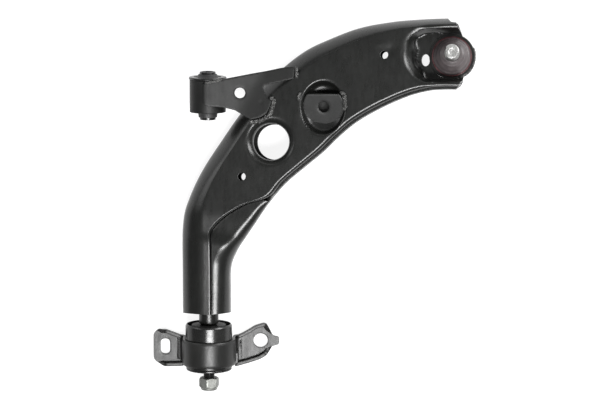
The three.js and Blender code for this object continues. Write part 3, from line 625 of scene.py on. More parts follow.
class Press:
    """Presses a feature into the plate: its wall follows a rounded profile of equal steps."""

    def __init__(self, profile, span):
        points = smooth_path([(a, b, 0) for a, b in rounded(profile, 6, 8, closed=False)], 0.2)
        length = np.concatenate([[0], np.cumsum(np.linalg.norm(np.diff(points, axis=0), axis=1))])
        self.low, self.high = span
        self.s = self.low + (self.high - self.low) * length / length[-1]
        self.out, self.depth = points[:, 0], points[:, 1]

    def __call__(self, d):
        """How far out and how deep a point at distance d outside the wall ends up."""
        out = np.interp(d, self.s, self.out)
        out = np.where((d < self.low) | (d > self.high), d, out)
        return out, np.interp(d, self.s, self.depth)


POCKET_R = 33.5
POCKET_X = BALL_X - 24
POCKET_V = BALL_V + 0.5
BOWL = {"x": lean(139, 0), "v": 290.0, "a": 26.5, "b": 32.5}
BIG_HOLE = {"x": lean(76.2, -4), "v": 249.6, "r": 22.0, "rim": 27.2, "low_x": lean(81.4, -34), "low_r": 21.2}
SMALL_HOLES = [(lean(41.2, 0), 207.6, 4.9), (lean(212.2, 0), 353.3, 4.9)]
NOSE_HOLE = (lean(262.9, NOSE_FLOOR), 347.7, 5.0, 7.2)

pocket_press = Press([(-19, NOSE_FLOOR), (-5.4, NOSE_FLOOR, 1.5), (-1.4, -1, 2), (3, 0)], (-19, 3))
pocket_inboard = Press([(-19, NOSE_FLOOR), (-14.5, NOSE_FLOOR, 1.5), (-11.2, -9, 5), (-2, 0, 9), (3, 0)],
                       (-19, 3))
bowl_press = Press([(-27, -19), (-16, -18), (-3.2, -13), (-0.4, 0), (4, 0)], (-27, 4))
hole_press = Press([(-11, -16), (-5.4, -9.5), (-4.2, -4.5), (1, 0), (5, 0)], (-11, 5))


def press_features(p, inset=0.0):
    """Moves a face's own points into the pocket, bowl, dished hole and dents.

    inset is how far the face lies inside the sheet; the features' radii grow with it.
    """
    x, v, z = p[..., 0], p[..., 1], p[..., 2]
    # pocket: distance from a line that ends inboard of the ball joint
    px = np.minimum(x - POCKET_X, 0)
    pv = v - POCKET_V
    r = np.hypot(px, pv)
    wider = inset * 0.8
    radius = POCKET_R + wider
    d, depth = pocket_press(r - radius)
    broad_d, broad_depth = pocket_inboard(r - radius)
    # the rim is broad where it faces inboard and narrows both ways round
    bearing = np.degrees(np.arctan2(pv, -px + 1e-9))
    broad = np.clip((np.where(px < -1e-6, 1, 0) * (1 - np.abs(bearing + 14) / 66)) * 1.6, 0, 1)
    broad = broad * broad * (3 - 2 * broad)
    d, depth = d + (broad_d - d) * broad, depth + (broad_depth - depth) * broad
    k = np.where(r > 1e-6, (d + radius) / np.maximum(r, 1e-6), 1)
    x = np.where(x < POCKET_X, POCKET_X + px * k, x)
    v = POCKET_V + pv * k
    z = z + depth
    # bowl and dished hole: distance from an ellipse, scaled from its centre
    for centre, a, b, press in ((BOWL, BOWL["a"], BOWL["b"], bowl_press),
                                (BIG_HOLE, BIG_HOLE["rim"], BIG_HOLE["rim"], hole_press)):
        a, b = a + wider, b + wider
        mean = (a + b) / 2
        ex, ev = x - centre["x"], v - centre["v"]
        rho = np.hypot(ex / a, ev / b) * mean
        d, depth = press(rho - mean)
        k = np.where(rho > 1e-6, (d + mean) / np.maximum(rho, 1e-6), 1)
        x, v, z = centre["x"] + ex * k, centre["v"] + ev * k, z + depth
    # dents: a struck mark beside the outboard small hole and a shallow draw round each hole
    for (hole_x, hole_v, _), right, ahead, size, deep in ((SMALL_HOLES[1], 7, 6, 6, -0.7),
                                                          (SMALL_HOLES[1], -6, 13, 4, 0.35),
                                                          (SMALL_HOLES[0], 0, 0, 8, -0.25),
                                                          (SMALL_HOLES[1], 0, 0, 8, -0.25)):
        off = (x - (hole_x + right)) ** 2 + (v - (hole_v + ahead)) ** 2
        z = z + deep * np.exp(-off / size ** 2)
    return np.stack([x, v, z], axis=-1)


EDGE_BEND = [2.8] * STEP_END + [5.0] * (LAST - STEP_END - 3) + [4.5, 3.8, 3.4, 3.4]
BEND_STEPS, EDGE_STEPS, FLAT_STEPS = 26, 9, 140


def upper_points(u, inset=0.0):
    """The upper pressing's face, or with an inset the face that far inside the sheet."""
    a = inset_points(left_edge, u, inset, 1)
    b = inset_points(seam_edge, u, inset, -1)
    width = np.linalg.norm(b - a, axis=1)
    flat = along_stations(TOP, u) - inset
    bend_b = np.maximum(along_stations(EDGE_BEND, u) - inset, 0.5)
    bend_a = np.minimum(np.maximum(along_stations(LEFT_BEND, u) - inset, 0.5), (width - bend_b) * 0.93)
    end_a = along_stations(HALF - JOINT_DROP, u)
    end_b = along_stations([h - 5 if i < 3 else h - 9 if i < STEP_END else FLANGE_LOW
                            for i, h in enumerate(TOP)], u)
    end_b = np.minimum(end_b, along_stations(TOP, u) - 4)
    ease = np.clip((u - 4) / 5, 0, 1)
    power = 2 / (2 + (1.35 - 2) * ease ** 2 * (3 - 2 * ease))
    along_a, z_a = quarter(np.linspace(0, 1, BEND_STEPS), bend_a, end_a, flat, power)
    wall = np.minimum(flat - bend_b, flat - 0.8)
    wall = np.maximum(wall, end_b + 0.4)
    along_b, z_b = quarter(np.linspace(1, 0, EDGE_STEPS), bend_b, wall, flat, np.ones_like(u))
    s = np.linspace(0, 1, FLAT_STEPS)[1:-1]
    along_flat = bend_a[:, None] + (width - bend_a - bend_b)[:, None] * s
    zero = np.zeros((len(u), 1))
    along = np.concatenate([along_a, along_flat, width[:, None] - along_b, width[:, None] + zero], axis=1)
    z = np.concatenate([z_a, flat[:, None] + zero * s, z_b, end_b[:, None]], axis=1)
    w = (along / width[:, None])[..., None]
    plan = a[:, None, :] * (1 - w) + b[:, None, :] * w
    return press_features(np.concatenate([plan, z[..., None]], axis=2), inset)


CUT_EDGE = 0.3
CUT_LIFT = np.array([0, 0, 0.2])


def rim_points(outer, inner):
    """Rounds a sheet's cut edge: the points from the outer face's last row to the inner face's."""
    across = inner - outer
    across = across / np.linalg.norm(across, axis=-1, keepdims=True)
    return [outer + across * CUT_EDGE, inner - across * CUT_EDGE]


def closed_sheet(outer, inner):
    """Joins two faces of the same grid, edge to edge, into one closed sheet."""
    first = rim_points(outer[:, 0], inner[:, 0])
    last = rim_points(outer[:, -1], inner[:, -1])
    for face in (outer, inner):
        face[:, 0] += CUT_LIFT
        face[:, -1] += CUT_LIFT
    ring = np.concatenate([outer, last[0][:, None], last[1][:, None], inner[:, ::-1],
                           first[1][:, None], first[0][:, None]], axis=1)
    rows, columns = ring.shape[:2]
    faces = grid_faces(rows, columns, round_columns=True)
    wide = outer.shape[1]
    strip = [(k, k + 1, 2 * wide - k, 2 * wide + 1 - k) for k in range(wide - 1)]
    ends = [(wide - 1, wide, wide + 1, wide + 2), (0, 2 * wide + 1, 2 * wide + 2, 2 * wide + 3)]
    faces += [face[::-1] for face in strip + ends]
    base = (rows - 1) * columns
    faces += [tuple(base + k for k in face) for face in strip + ends]
    return ring.reshape(-1, 3), faces


NOSE_CUT = [(lean(x, -8), v) for x, v in
            ((286.1, 402), (288.1, 397), (292.2, 392.4), (298.8, 391.6), (301.1, 386), (304.1, 378),
             (305.6, 372), (305.6, 330), (305.1, 322), (302.1, 316), (298.6, 313), (293.6, 306),
             (292.6, 300), (340, 300), (340, 402))]


def cut_openings(piece, big_hole, big_span, seat_span, nose_span, small_span):
    """Cuts the large hole, the ball joint's seat, the nose's outline and the drain holes."""
    hole_x, hole_v, across, tall = NOSE_HOLE
    cutters = [cylinder(*big_hole, *big_span, sides=128),
               cylinder(BALL_X, BALL_V, NOSE_R + 0.1, *seat_span, sides=128),
               prism(NOSE_CUT, -60, 10, PLATE),
               cylinder(hole_x, hole_v, across, *nose_span, tall=tall)]
    cutters += [cylinder(*hole, *small_span) for hole in SMALL_HOLES]
    cut(piece, cutters)


def make_upper():
    """The upper pressing: left half of the tube, plate, flanks, pocket, bowl and dished hole."""
    u = np.linspace(0, LAST, 330)
    verts, faces = closed_sheet(upper_points(u), upper_points(u, SHEET))
    piece = put("upper_pressing", verts, faces, PLATE, ARM, stands_for=["upper_shell"], slot="arm_paint")
    cut_openings(piece, (BIG_HOLE["x"], BIG_HOLE["v"], BIG_HOLE["r"]), (-20, 5),
                 (NOSE_FLOOR - 8, NOSE_FLOOR + 1.2), (NOSE_FLOOR - 8, NOSE_FLOOR + 8), (-8, 5))


def make_lower():
    """The lower pressing: a tray with a lip, whose right wall wraps over the tube to the seam."""
    u = np.linspace(0, LAST, 300)
    a = left_edge(u)
    b = right_edge(u)
    width = np.linalg.norm(b - a, axis=1)
    bottom = along_stations(BOTTOM, u)
    low_bend = np.minimum(along_stations(LOW_BEND, u), width * 0.49)
    start = along_stations([h - 5 if i < 8 else FLANGE_LOW - 1 for i, h in enumerate(HALF)], u)
    lip_a = along_stations(HALF - JOINT_DROP - GAP, u)
    lip_b = along_stations([h + 1.5 if i < 7 else LIP_TOP for i, h in enumerate(HALF)], u)
    one = np.ones_like(u)
    bend, level = quarter(spaced(14), low_bend, start, bottom, one)
    zero = np.zeros((len(u), 1))
    flat_s = np.linspace(0, 1, 60)[1:-1]
    flat = low_bend[:, None] + (width - 2 * low_bend)[:, None] * flat_s
    along = np.concatenate([zero, zero, bend[:, 1:], flat, (width[:, None] - bend)[:, ::-1],
                            width[:, None]], axis=1)
    z = np.concatenate([lip_a[:, None], start[:, None], level[:, 1:],
                        np.repeat(bottom[:, None], len(flat_s), axis=1),
                        level[:, ::-1], lip_b[:, None]], axis=1)
    w = (along / width[:, None])[..., None]
    tray = np.concatenate([a[:, None, :] * (1 - w) + b[:, None, :] * w, z[..., None]], axis=2)
    # the wrap: on up the right wall, round the shoulder and over to the seam
    seam = inset_points(seam_edge, u, -SEAM_GAP, -1)
    across = np.linalg.norm(seam - b, axis=1)
    top = along_stations([h if i < 4 else min(h, -12.5) for i, h in enumerate(TOP)], u)
    shoulder = np.minimum(along_stations(SHOULDER, u), across * 0.93)
    bend, level = quarter(spaced(16), shoulder, lip_b, top, one)
    flat = shoulder[:, None] + (across - shoulder)[:, None] * np.linspace(0, 1, 8)[1:]
    along = np.concatenate([bend[:, 1:], flat], axis=1)
    z = np.concatenate([level[:, 1:], np.repeat(top[:, None], 7, axis=1)], axis=1)
    w = (along / across[:, None])[..., None]
    wrap = np.concatenate([b[:, None, :] * (1 - w) + seam[:, None, :] * w, z[..., None]], axis=2)
    points = np.concatenate([tray, wrap], axis=1)
    rows, columns = points.shape[:2]
    lip = tray.shape[1] - 1
    faces = []
    for i, face in enumerate(grid_faces(rows, columns)):
        row, column = divmod(i, columns - 1)
        if column < lip or u[row + 1] <= WRAP_END:
            faces.append(face)
    piece = put("lower_pressing", points.reshape(-1, 3), faces, PLATE, ARM,
                stands_for=["lower_shell"], slot="arm_paint")
    face_sheet(piece, up=False)
    thicken(piece, SHEET, 0.5, even=False)
    cut_openings(piece, (BIG_HOLE["low_x"], BIG_HOLE["v"], BIG_HOLE["low_r"]), (-60, -14),
                 (-45, -20), (-60, -20), (-60, -20))


def face_sheet(piece, up):
    """Makes an open sheet's faces point up, or down, where it lies flattest."""
    total = sum(p.normal.z * p.area for p in piece.data.polygons if abs(p.normal.z) > 0.9)
    if (total > 0) != up:
        piece.data.flip_normals()


def make_nose():
    """The rings that seat the ball joint: the upper pressing's pad, the lower one's and their weld."""
    for name, top, foot in (("upper_nose_ring", NOSE_FLOOR, NOSE_FLOOR - SHEET),
                            ("lower_nose_ring", NOSE_FLOOR - NEST, NOSE_FLOOR - NEST - SHEET - 0.7)):
        lathe(name, [(HOUSING_R + GAP, top), (NOSE_R, top), (NOSE_R, foot), (HOUSING_R + GAP, foot)],
              BALL_FRAME, ARM, 0.8, 128)
    path = []
    r = NOSE_R - 0.3
    for k in range(13):
        q = math.radians(-78 + k * 8.5)
        path.append((BALL_X + r * math.cos(q), BALL_V + r * math.sin(q), NOSE_FLOOR - 2.9))
    bead("nose_weld", path, (1.3, 2.7), lump=0.5, ripple=3.1, seed=3)


# ---- Front bush, bracket and link plate ------------------------------------------------------------
def make_front_bush():
    """The eye and, in it, the flanged outer sleeve, the rubber and the inner sleeve."""
    place = along_axis(FRONT_Y)
    eye_in = EYE_R - EYE_WALL
    sleeve_in = eye_in - GAP - 1.8
    flange = EYE_HALF + 3.2
    lathe("eye", [(eye_in, -EYE_HALF), (EYE_R, -EYE_HALF), (EYE_R, EYE_HALF), (eye_in, EYE_HALF)],
          place, DULL, 0.9, stands_for=["front_eye"], slot="arm_paint")
    lathe("front_outer_sleeve", [(sleeve_in, -EYE_HALF), (eye_in - GAP, -EYE_HALF),
                                 (eye_in - GAP, EYE_HALF + GAP), (EYE_R + 0.9, EYE_HALF + GAP, 0.6),
                                 (EYE_R + 0.9, flange, 1.2), (sleeve_in, flange)],
          place, DARK, 0.5, stands_for=["front_bush_outer_sleeve"], slot="dark_steel")
    inner = FRONT_SLEEVE_R + GAP
    lathe("front_rubber", [(inner, -EYE_HALF - 6.5), (inner + 1.3, -EYE_HALF - 6.5, 1),
                           (inner + 2, -EYE_HALF - 1, 2), (sleeve_in - GAP, -EYE_HALF + 1, 1),
                           (sleeve_in - GAP, flange - 1, 1), (inner + 2.5, flange + 1, 2),
                           (inner + 1, flange + 3.4, 1), (inner, flange + 3.4)],
          place, RUBBER, 0.4, stands_for=["front_bush_rubber"], slot="rubber")
    lathe("front_inner_sleeve", [(FRONT_BORE_R, -FRONT_SLEEVE_HALF), (FRONT_SLEEVE_R, -FRONT_SLEEVE_HALF),
                                 (FRONT_SLEEVE_R, FRONT_SLEEVE_HALF), (FRONT_BORE_R, FRONT_SLEEVE_HALF)],
          place, DARK, 0.7, body="front_sleeve", stands_for=["front_bush_inner_sleeve"], slot="dark_steel")


BRACKET_RAMP = math.radians(14)
BRACKET_SHEET = 4.0
BRACKET_OUTLINE = [(-3, 318.5, 2), (-3, 293.5, 2), (4, 291.6), (21, 290.4), (34.6, 287), (42, 282.3),
                   (53, 276), (64.7, 278.8), (72.5, 283.7), (77, 292.8), (78.5, 299, 2), (72.5, 302.5, 2),
                   (66.5, 316.3, 5), (105.5, 325.2, 3), (106.5, 339.9, 3), (91.5, 338.3), (23, 324.6)]
BRACKET_HOLE = (40.5, 308)
BRACKET_PUNCH = (66, 296.5)


def axis_in_plate(y):
    """The bush axis in the plate's own plan and height."""
    w = y * math.sin(PLATE_PITCH) - PLATE_ABOVE_AXIS
    return w * math.sin(PLATE_LEAN), y * math.cos(PLATE_PITCH), w * math.cos(PLATE_LEAN)


def bracket_level(x, v):
    """The bracket's underside: it wraps the eye, ramps down and lies flat on the plate."""
    ax, _, az = axis_in_plate(v / math.cos(PLATE_PITCH))
    r = EYE_R + GAP + 0.15
    across = x - ax
    if across < r * math.sin(BRACKET_RAMP):
        return az + math.sqrt(max(r * r - across * across, 0)) / math.cos(PLATE_PITCH)
    level = az + r / math.cos(BRACKET_RAMP) / math.cos(PLATE_PITCH) - across * math.tan(BRACKET_RAMP)
    # a rounded foot where the ramp meets the plate
    soft = 2.5
    high = level - GAP
    return GAP + (high + math.sqrt(high * high + soft * soft)) / 2 - 0.25


def raised(name, plan, level, thickness, place, edge, **rest):
    """A pressed sheet over a plan, (points, faces): its upper face follows level(x, y)."""
    points, faces = plan
    verts = [(x, y, level(x, y)) for x, y in points]
    piece = put(name, verts, faces, place, DULL, **rest)
    face_sheet(piece, up=True)
    thicken(piece, thickness, edge)


def make_bracket():
    """The bracket between the eye and the plate, with its three weld beads."""
    outline = resample(rounded(BRACKET_OUTLINE, 4, 5), 1.1)
    plan = fill(outline, circle_points(*BRACKET_HOLE, 6.1), 2.0)

    def level(x, y):
        rim = math.hypot(x - BRACKET_HOLE[0], y - BRACKET_HOLE[1])
        punch = 0.9 * math.hypot(x - BRACKET_PUNCH[0], y - BRACKET_PUNCH[1])
        return (bracket_level(x, y) + BRACKET_SHEET - 0.35 * math.exp(-((rim - 6) / 1.2) ** 2)
                - 0.5 * math.exp(-(punch / 1.4) ** 2))

    raised("bracket_plate", plan, level, BRACKET_SHEET, PLATE, 0.7,
           stands_for=["front_bracket"], slot="arm_paint")
    bead("bracket_bead", [(50, 273.2, 1.2), (58, 273.2, 1.4), (66.5, 275.9, 1.6), (74.6, 281.2, 1.7),
                          (78.8, 290, 1.8), (80.4, 298.4, 1.8), (76, 303.2, 1.6)], (2.4, 2.6),
         lump=0.7, ripple=2.8, seed=11, stands_for=["bracket_weld_seam"], slot="arm_paint")
    bead("bracket_tip_bead", [(107.6, 325.6, 1.4), (108.4, 333, 1.7), (108.2, 339.6, 1.4)], (2.1, 2.4),
         lump=0.6, ripple=2.6, seed=17, stands_for=["bracket_weld_tip"], slot="arm_paint")
    bead("eye_bead_front", [(-1, 319.3, 3.4), (4, 320.2, 3), (12, 321.5, 1.6), (20, 323.6, -0.6)],
         (1.5, 1.6), lump=0.5, ripple=2.5, seed=23,
         place=PLATE @ Matrix.Translation((0, 0, bracket_level(4, 318) * MM)))


LINK = {"v0": 306.5, "v1": 262.0, "fall": 0.42, "sheet": 3.5, "hole_v": 291.0, "hole_r": 6.1}


def make_link():
    """The link plate, sloping in the bowl and cut straight along its front, with its two beads."""
    slope = math.atan(LINK["fall"])
    a, b = BOWL["a"] - 1.2, BOWL["b"] - 1.6
    outline = []
    for k in range(60):
        q = 2 * math.pi * k / 60
        outline.append((a * math.cos(q), min(b * math.sin(q) * 0.86, LINK["v0"] - BOWL["v"])))
    outline = resample(rounded(outline, 0.5, 2), 1.1)
    plan = fill(outline, circle_points(0, LINK["hole_v"] - BOWL["v"], LINK["hole_r"], 0.8), 1.8)
    middle = (LINK["v0"] + LINK["v1"]) / 2
    centre = -4 - (LINK["v0"] - LINK["v1"]) * LINK["fall"] / 2
    face = centre + LINK["sheet"] / 2 / math.cos(slope)

    def level(x, y):
        ring = math.hypot(x, y - 1)
        return face + (y + BOWL["v"] - middle) * LINK["fall"] - 0.4 * math.exp(-((ring - 6.6) / 1.0) ** 2)

    place = PLATE @ Matrix.Translation(Vector((BOWL["x"], BOWL["v"], 0)) * MM)
    raised("link_seat", plan, level, LINK["sheet"], place, 0.6,
           stands_for=["link_plate"], slot="arm_paint")
    bead("link_bead_left", [(111.6, 298, 1.0), (111.5, 304, 1.3), (114, 308.8, 1.1)], (1.7, 1.8),
         lump=0.7, ripple=2.4, seed=29, stands_for=["link_weld_left"], slot="arm_paint")
    bead("link_bead_right", [(166.2, 286, 1.0), (167, 295, 1.5), (166, 304, 1.5), (161.5, 309.6, 1.1)],
         (2.2, 2.3), lump=0.8, ripple=2.9, seed=31, stands_for=["link_weld_right"], slot="arm_paint")


# ---- Ball joint ------------------------------------------------------------------------------------
HOUSING_TOP = NOSE_FLOOR + 3
HOUSING_FOOT = -58.4
STUD_END = BALL_LEVEL + 58
BOOT_TOP = -6


def make_housing():
    """The housing pressed up through the nose, and the cap that closes it."""
    pad_under = NOSE_FLOOR - 2 * SHEET - GAP - 0.7
    top, foot = HOUSING_TOP, HOUSING_FOOT
    lathe("housing", [(16.4, top), (HOUSING_R, top), (HOUSING_R, pad_under - GAP), (25.5, pad_under - GAP),
                      (25.5, pad_under - 4), (20.4, pad_under - 5, 2), (20, foot, 1.5), (17.4, foot),
                      (17.4, foot + 3.2), (15.7, foot + 3.2), (15.7, -33.5), (13.2, -31.5)],
          BALL_FRAME, DARK, 0.5, stands_for=["ball_joint_housing"], slot="dark_steel")
    lathe("cap", [(0, foot + 0.4), (8, foot + 0.4), (10, foot + 1.2), (17.1, foot + 1.0),
                  (17.1, foot + 2.9), (0, foot + 2.9)],
          BALL_FRAME, RING, 0.6, stands_for=["housing_cap"], slot="dark_steel")


def make_stud():
    """The ball and its stud, with a neck, a pinch groove and a flat near the end."""
    end = STUD_END
    profile = [(0, BALL_LEVEL - 11.8), (4, BALL_LEVEL - 11.8)]
    for k in range(16):
        q = math.radians(-62 + 112 * k / 15)
        profile.append((BALL_R * math.cos(q), BALL_LEVEL + BALL_R * math.sin(q)))
    profile += [(7.4, BALL_LEVEL + 14, 3), (7.4, -18, 3), (STUD_R, -12, 3), (STUD_R, end - 13, 0.8),
                (STUD_R - 1.3, end - 11.5, 1.2), (STUD_R - 1.3, end - 7.5, 1.2), (STUD_R, end - 6, 0.8),
                (STUD_R, end - 1.2, 0.7), (STUD_R - 1.2, end, 0.5), (4.2, end, 0.3), (3.6, end - 0.25, 0.3),
                (0, end - 0.3)]
    stud = lathe("stud", profile, STUD_FRAME, STUD, 0.6, 128, body="stud", stands_for=["ball_stud"],
                 slot="bright_steel")
    flat = prism([(-STUD_R - 4, -20), (-STUD_R + 2.4, -20), (-STUD_R + 2.4, 20), (-STUD_R - 4, 20)],
                 end - 14, end + 4, STUD_FRAME)
    cut(stud, [flat])


def make_boot():
    """The ribbed boot, drawn leaning with the stud at its top, and its two rings."""
    top = HOUSING_TOP
    boot_profile = [(HOUSING_R + GAP, NOSE_FLOOR + 0.5), (BOOT_R, NOSE_FLOOR + 0.5, 0.6),
                    (BOOT_R, -23, 1.6), (21.2, -19.6, 1.5), (19.8, -18.4, 1), (18.4, -14.6, 1.6),
                    (15.6, -11.2, 1.2), (14.8, -9.2, 0.9), (12.2, -7.4, 1.2), (10.9, -5.5, 0.8),
                    (10.9, -3.2, 0.6), (STUD_R + GAP, -3.2, 0.4), (STUD_R + GAP, -7, 1),
                    (13.2, -11.6, 2), (17.4, -18.0, 2), (HOUSING_R + GAP, -23, 1)]
    boot = lathe("boot_cover", boot_profile, BALL_FRAME, BOOT, 0.6, 128, body=None)
    for vertex in boot.data.vertices:
        share = min(max((vertex.co.z / MM - top) / (BOOT_TOP - top), 0), 1)
        vertex.co = tip(STUD_LEAN * share * share * (3 - 2 * share)) @ vertex.co
    smooth(boot)
    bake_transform(boot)
    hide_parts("boot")
    lathe("boot_clamp", [(BOOT_R - 0.2, -26.1), (BOOT_R + 1.3, -26.1),
                         (BOOT_R + 1.3, -24.2), (BOOT_R - 0.2, -24.2)], BALL_FRAME, CLAMP, 0.4, 128,
          stands_for=["boot_lower_ring"], slot="bright_steel")
    lathe("boot_collar", [(10.8, -5.2), (12.1, -5.2), (12.1, -3.9), (10.8, -3.9)], STUD_FRAME, BOOT, 0.5, 96,
          body="stud_swinger", stands_for=["boot_upper_ring"], slot="bright_steel")


# ---- Rear spindle, bush, nut and bracket -------------------------------------------------------------
THREAD_PITCH = 1.5


def thread_ring(z, low, high, radius, deep, sides):
    """One ring of a thread's points: a ridge 'deep' high on 'radius' that fades out at both ends."""
    fade = min(1.0, (z - low) / THREAD_PITCH, (high - z) / THREAD_PITCH)
    ring = []
    for k in range(sides):
        q = k / sides
        wave = abs(((z / THREAD_PITCH - q) % 1.0) * 2 - 1)
        r = radius + deep * fade * wave
        ring.append((r * math.cos(2 * math.pi * q), r * math.sin(2 * math.pi * q), z))
    return ring


def threaded(name, radius, low, high, deep, place, material):
    """A threaded length: a helical ridge on a closed rod."""
    sides, per_turn = 48, 10
    rows = int((high - low) / THREAD_PITCH * per_turn) + 1
    verts = []
    for i in range(rows):
        z = low + (high - low) * i / (rows - 1)
        verts += thread_ring(z, low, high, radius - deep, deep, sides)
    faces = grid_faces(rows, sides, False, True)
    n = len(verts)
    verts += [(0, 0, low), (0, 0, high)]
    for k in range(sides):
        faces.append((n, (k + 1) % sides, k))
        faces.append((n + 1, n - sides + k, n - sides + (k + 1) % sides))
    put(name, verts, faces, place, material)


def flattened(r, turn):
    """The collar on the spindle is pinched flatter one way; the rest stays round."""
    return r * (1 - 0.23 * math.sin(turn) ** 2) if r > SPINDLE_R + 0.5 else r


def make_rear_bush():
    """The spindle with its collar and thread, and the bush and washers on it."""
    place = along_axis()
    front, rear, sleeve_r = 24.2, -27.4, 12.6
    lathe("spindle", [(0, -33), (THREAD_R - 0.5, -33), (THREAD_R - 0.5, rear - 0.2), (SHAFT_R, rear, 0.6),
                      (SHAFT_R, 27.8, 2), (SPINDLE_R, 29.5, 1), (SPINDLE_R, 45.5, 1), (20.5, 46.2, 0.3),
                      (20.5, 57.6, 0.3), (SPINDLE_R, 58, 0.3), (SPINDLE_R, 74), (0, 74)],
          place, ARM, 0.5, wobble=flattened, stands_for=["rear_spindle"], slot="arm_paint")
    threaded("spindle_thread", THREAD_R, -54.0, -28.0, 0.85, place, THREAD)
    lathe("rear_front_washer", [(SHAFT_R + GAP, front + GAP), (21, front + GAP, 0.8), (21, 27.5, 0.8),
                                (SHAFT_R + GAP, 27.5)], place, DULL, 0.4,
          stands_for=["rear_bush_front_washer"], slot="dark_steel")
    lathe("rear_inner_sleeve", [(SHAFT_R + GAP, rear), (sleeve_r, rear),
                                (sleeve_r, front), (SHAFT_R + GAP, front)],
          place, DARK, 0.5, stands_for=["rear_bush_inner_sleeve"], slot="dark_steel")
    lathe("rear_rubber", [(sleeve_r + GAP, -24.5), (16, -24.6, 2), (20, -22.4, 3), (CUP_R - 2.5, -24, 1),
                          (CUP_R - 2.5, 22, 1), (21, 19.5, 3), (16, 22.8, 2), (sleeve_r + GAP, 23)],
          place, RUBBER, 0.5, stands_for=["rear_bush_rubber"], slot="rubber")
    lathe("rear_cup", [(CUP_R - 2.2, CUP_REAR), (CUP_R, CUP_REAR), (CUP_R, CUP_FRONT - 2.2, 2.4),
                       (CUP_R - 1.2, CUP_FRONT, 1.2), (CUP_R - 2.2, CUP_FRONT, 0.6)], place, DARK, 0.8, 128,
          body="rear_mount", stands_for=["rear_bush_cup"], slot="dark_steel")
    lathe("dished_washer", [(THREAD_R + GAP, rear - GAP), (14, rear - GAP), (17, -26.6, 3),
                            (27.8, -26.1, 0.6), (27.8, -28.4, 1.0), (17.8, -29, 3),
                            (14.5, -31.5, 1.5), (THREAD_R + GAP, -31.5)],
          place, DARK, 0.5, 128, stands_for=["rear_washer"], slot="dark_steel")


def make_nut():
    """A chamfered hexagon nut with a crimped collar, threaded right through."""
    low, high = NUT_TOP - NUT_LENGTH, NUT_TOP
    corner = NUT_FLATS / math.sqrt(3)
    sides = 144
    levels = [(low, 9.2), (low + 0.3, 9.6), (low + 1.2, 9.9), (low + 2.6, 10.1), (low + 3.4, 11.2),
              (low + 3.8, corner - 1.2), (low + 4.6, corner - 0.4), (low + 5.2, corner),
              (high - 1.8, corner), (high - 0.9, corner - 0.9), (high - 0.2, corner - 2.0),
              (high, corner - 2.5)]
    rings = []
    for z, limit in levels:
        ring = []
        for k in range(sides):
            q = 2 * math.pi * k / sides
            flat = (q - 0.3 * math.pi / 3 + 2 * math.pi) % (math.pi / 3) - math.pi / 6
            r = min(NUT_FLATS / 2 / math.cos(flat), limit)
            ring.append((r * math.cos(q), r * math.sin(q), z))
        rings.append(ring)
    for i in range(97):
        z = high - 0.3 - (high - low - 0.6) * i / 96
        rings.append(thread_ring(z, low, high, THREAD_R + GAP, 0.7, sides))
    verts = [v for ring in rings for v in ring]
    put("nut_piece", verts, grid_faces(len(rings), sides, True, True), along_axis(), ZINC, body="nut",
        stands_for=["rear_nut"], slot="zinc")


LEFT_EAR = [(-31, 9, 1), (-53.5, 17.5, 6), (-63, 17, 5), (-69, 11, 5), (-69, -20, 5), (-63, -26.5, 5),
            (-56, -28.5, 5), (-31, -28, 1)]
RIGHT_EAR = [(31, 8.8, 1), (40, 12.6, 5), (48.7, 17.6, 8), (56.4, 22.4, 8), (70, 26.4, 5), (78.1, 8.1, 4),
             (86, 7, 2), (86, -2.4, 2), (78.1, -4.1, 3), (75.4, -8.4, 5), (70, -15, 8), (61.7, -19.8, 8),
             (45.5, -25, 8), (31, -29, 1)]


def ear(name, outline, hole, tall):
    """A bolt ear: a flat plate whose edges turn up by tall(x, y) along its outline."""
    loop = resample(rounded(outline, 5, 6), 1.0)
    area = np.sum(loop[:, 0] * np.roll(loop[:, 1], -1) - np.roll(loop[:, 0], -1) * loop[:, 1])
    if area < 0:
        loop = loop[::-1]
    loop = evened(loop, 4)
    height = evened(np.array([tall(x, y) for x, y in loop]), 8)
    bend = 5.5
    share = np.clip(height / bend, 0, 1)
    wall_steps, bend_steps = 3, 7
    verts = []
    for step in range(wall_steps):
        level = bend * share + np.maximum(height - bend, 0) * (1 - step / wall_steps)
        verts += [(x, y, z) for (x, y), z in zip(loop, level)]
    reach = 0
    for step in range(bend_steps + 1):
        q = step / bend_steps * math.pi / 2
        inset = (1 - math.cos(q)) * bend
        if step:
            inwards = (inset - reach) * share + 0.3 * (1 - share)
            loop = evened(loop + inward_of(loop) * inwards[:, None], 1)
        reach = inset
        level = bend * share * (1 - math.sin(q))
        verts += [(x, y, z) for (x, y), z in zip(loop, level)]
    faces = grid_faces(wall_steps + bend_steps + 1, len(loop), False, True)
    points, flat_faces = fill(loop, hole, 2.0)
    base = len(verts)
    verts += [(x, y, 0) for x, y in points]
    faces += [tuple(base + k for k in f) for f in flat_faces]
    place = AXIS @ Matrix.Translation((0, 0, (EAR_LEVEL - EAR_SHEET) * MM))
    piece = put(name, verts, faces, place, BRACKET, body="rear_mount")
    face_sheet(piece, up=False)
    thicken(piece, EAR_SHEET, 0.7, even=False)
    # a few faces by the inner corners thicken outwards, so their points are brought back to the blank
    low = np.append(np.min([c[:2] for c in outline], axis=0), 0) * MM
    high = np.append(np.max([c[:2] for c in outline], axis=0), 1000) * MM
    for vertex in piece.data.vertices:
        vertex.co = np.clip(vertex.co, low, high)
    smooth(piece)


def evened(loop, times):
    """A closed run of points or numbers, smoothed along itself."""
    for _ in range(times):
        loop = (np.roll(loop, 1, axis=0) + 2 * loop + np.roll(loop, -1, axis=0)) / 4
    return loop


